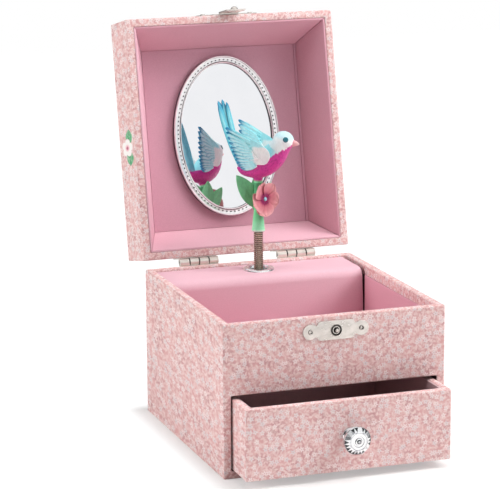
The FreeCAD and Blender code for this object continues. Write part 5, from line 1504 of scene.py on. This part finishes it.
stageForm = {"size": 3.0, "floor": (0.92, 0.915, 0.91, 1), "shadowShare": 0.66, "glow": 1.12, "footX": 0.060,
             "footY": 0.083, "middleY": -0.017, "fade": 0.015}
# lamps: place, size, power and colour
lampForm = {"over": ((0.20, -0.15, 1.25), 0.9, 9.4, (1.0, 0.99, 0.98)),
            "left": ((-1.25, 0.22, 0.50), 0.8, 11.6, (1.0, 0.99, 0.98)),
            "front": ((0.50, -1.30, 0.65), 0.9, 3.2, (1.0, 0.99, 0.99)),
            "right": ((1.05, -0.45, 0.95), 0.7, 15.6, (1.0, 0.99, 0.98))}
roomForm = {"aim": (0, 0, 0.08), "fill": 0.04, "dim": 0.06, "cardWay": (0.33, -0.93, 0.17), "card": (0.35, 0.86),
            "ceiling": (0.5, 0.92), "ceilingGlow": 0.95}
cameraForm = {"lens": 2366.32 / 500 * 36, "sensor": 36.0, "at": (-0.41997, -1.14055, 0.36982), "yaw": -0.33545,
              "pitch": -0.21627, "roll": -0.0065, "clip": (0.01, 20.0)}


def rayKinds(tree):
    # rays that the camera sees straight or through glass, and mirrored rays
    path = addNode(tree, "ShaderNodeLightPath").outputs
    return sums(tree, "MAXIMUM", path["Is Camera Ray"], path["Is Transmission Ray"]), path["Is Glossy Ray"]


def makeStage():
    p = stageForm
    mesh = bpy.data.meshes.new("floor")
    h = p["size"] / 2
    mesh.from_pydata([(-h, -h, 0), (h, -h, 0), (h, h, 0), (-h, h, 0)], [], [(0, 1, 2, 3)])
    mat, tree, shader = startMaterial("floorPaper")
    dressed(tree, shader, p["floor"], 0.9, specular=0.0)
    # seen by the camera the floor goes to white and keeps only the object's shadow
    glow = addNode(tree, "ShaderNodeEmission", {"Color": (1, 1, 1, 1), "Strength": p["glow"]})
    x, y = splitXyz(tree, objectPlace(tree))[:2]
    away = [sums(tree, "MAXIMUM", sums(tree, "SUBTRACT", sums(tree, "ABSOLUTE", value), half), 0.0)
            for value, half in ((x, p["footX"]), (sums(tree, "SUBTRACT", y, p["middleY"]), p["footY"]))]
    share = rise(tree, lengthOf(tree, *away), 0.0, p["fade"], 1 - p["shadowShare"], 1.0)
    share = sums(tree, "MULTIPLY", rayKinds(tree)[0], share)
    both = addNode(tree, "ShaderNodeMixShader", {0: share, 1: shader.outputs[0], 2: glow.outputs[0]})
    out = [n for n in tree.nodes if n.type == "OUTPUT_MATERIAL"][0]
    tree.links.new(both.outputs[0], out.inputs[0])
    mesh.materials.append(mat)
    floor = linked("floor", mesh)


def makeLight():
    p = roomForm
    for name, (at, size, power, colour) in lampForm.items():
        lamp = bpy.data.lights.new(name, "AREA")
        lamp.size, lamp.energy, lamp.color = size, power, colour
        obj = linked(name, lamp)
        obj.location = at
        obj.visible_glossy = False  # the mirror shows the card, not the lamps
        obj.rotation_euler = (Vector(p["aim"]) - Vector(at)).to_track_quat("-Z", "Y").to_euler()
    scene.world = bpy.data.worlds.new("studio")
    scene.world.use_nodes = True
    tree = scene.world.node_tree
    tree.nodes.clear()
    seen, mirrored = rayKinds(tree)
    way = addNode(tree, "ShaderNodeTexCoord").outputs["Generated"]
    towards = addNode(tree, "ShaderNodeVectorMath", {0: way, 1: p["cardWay"]}, operation="DOT_PRODUCT")
    card = rise(tree, towards.outputs["Value"], *p["card"], p["dim"], 1.0)  # white card in front, dimmer to the sides
    ceiling = rise(tree, splitXyz(tree, way)[2], *p["ceiling"], p["dim"], p["ceilingGlow"])
    shiny = sums(tree, "MAXIMUM", card, ceiling)
    strength = blendNumber(tree, seen, blendNumber(tree, mirrored, p["fill"], shiny), 1.0)
    sky = addNode(tree, "ShaderNodeBackground", {"Color": (1, 1, 1, 1), "Strength": strength})
    tree.links.new(sky.outputs[0], tree.nodes.new("ShaderNodeOutputWorld").inputs[0])


def makeCamera():
    p = cameraForm
    data = bpy.data.cameras.new("camera")
    data.lens, data.sensor_width, data.sensor_fit = p["lens"], p["sensor"], "HORIZONTAL"
    data.clip_start, data.clip_end = p["clip"]
    scene.camera = linked("camera", data)
    scene.camera.matrix_world = (Matrix.Translation(p["at"]) @ Matrix.Rotation(p["yaw"], 4, "Z")
                                 @ Matrix.Rotation(pi / 2 + p["pitch"], 4, "X") @ Matrix.Rotation(p["roll"], 4, "Z"))


makeStage()
makeLight()
makeCamera()
scene.view_settings.view_transform = "Standard"
print("stage, light and camera set")
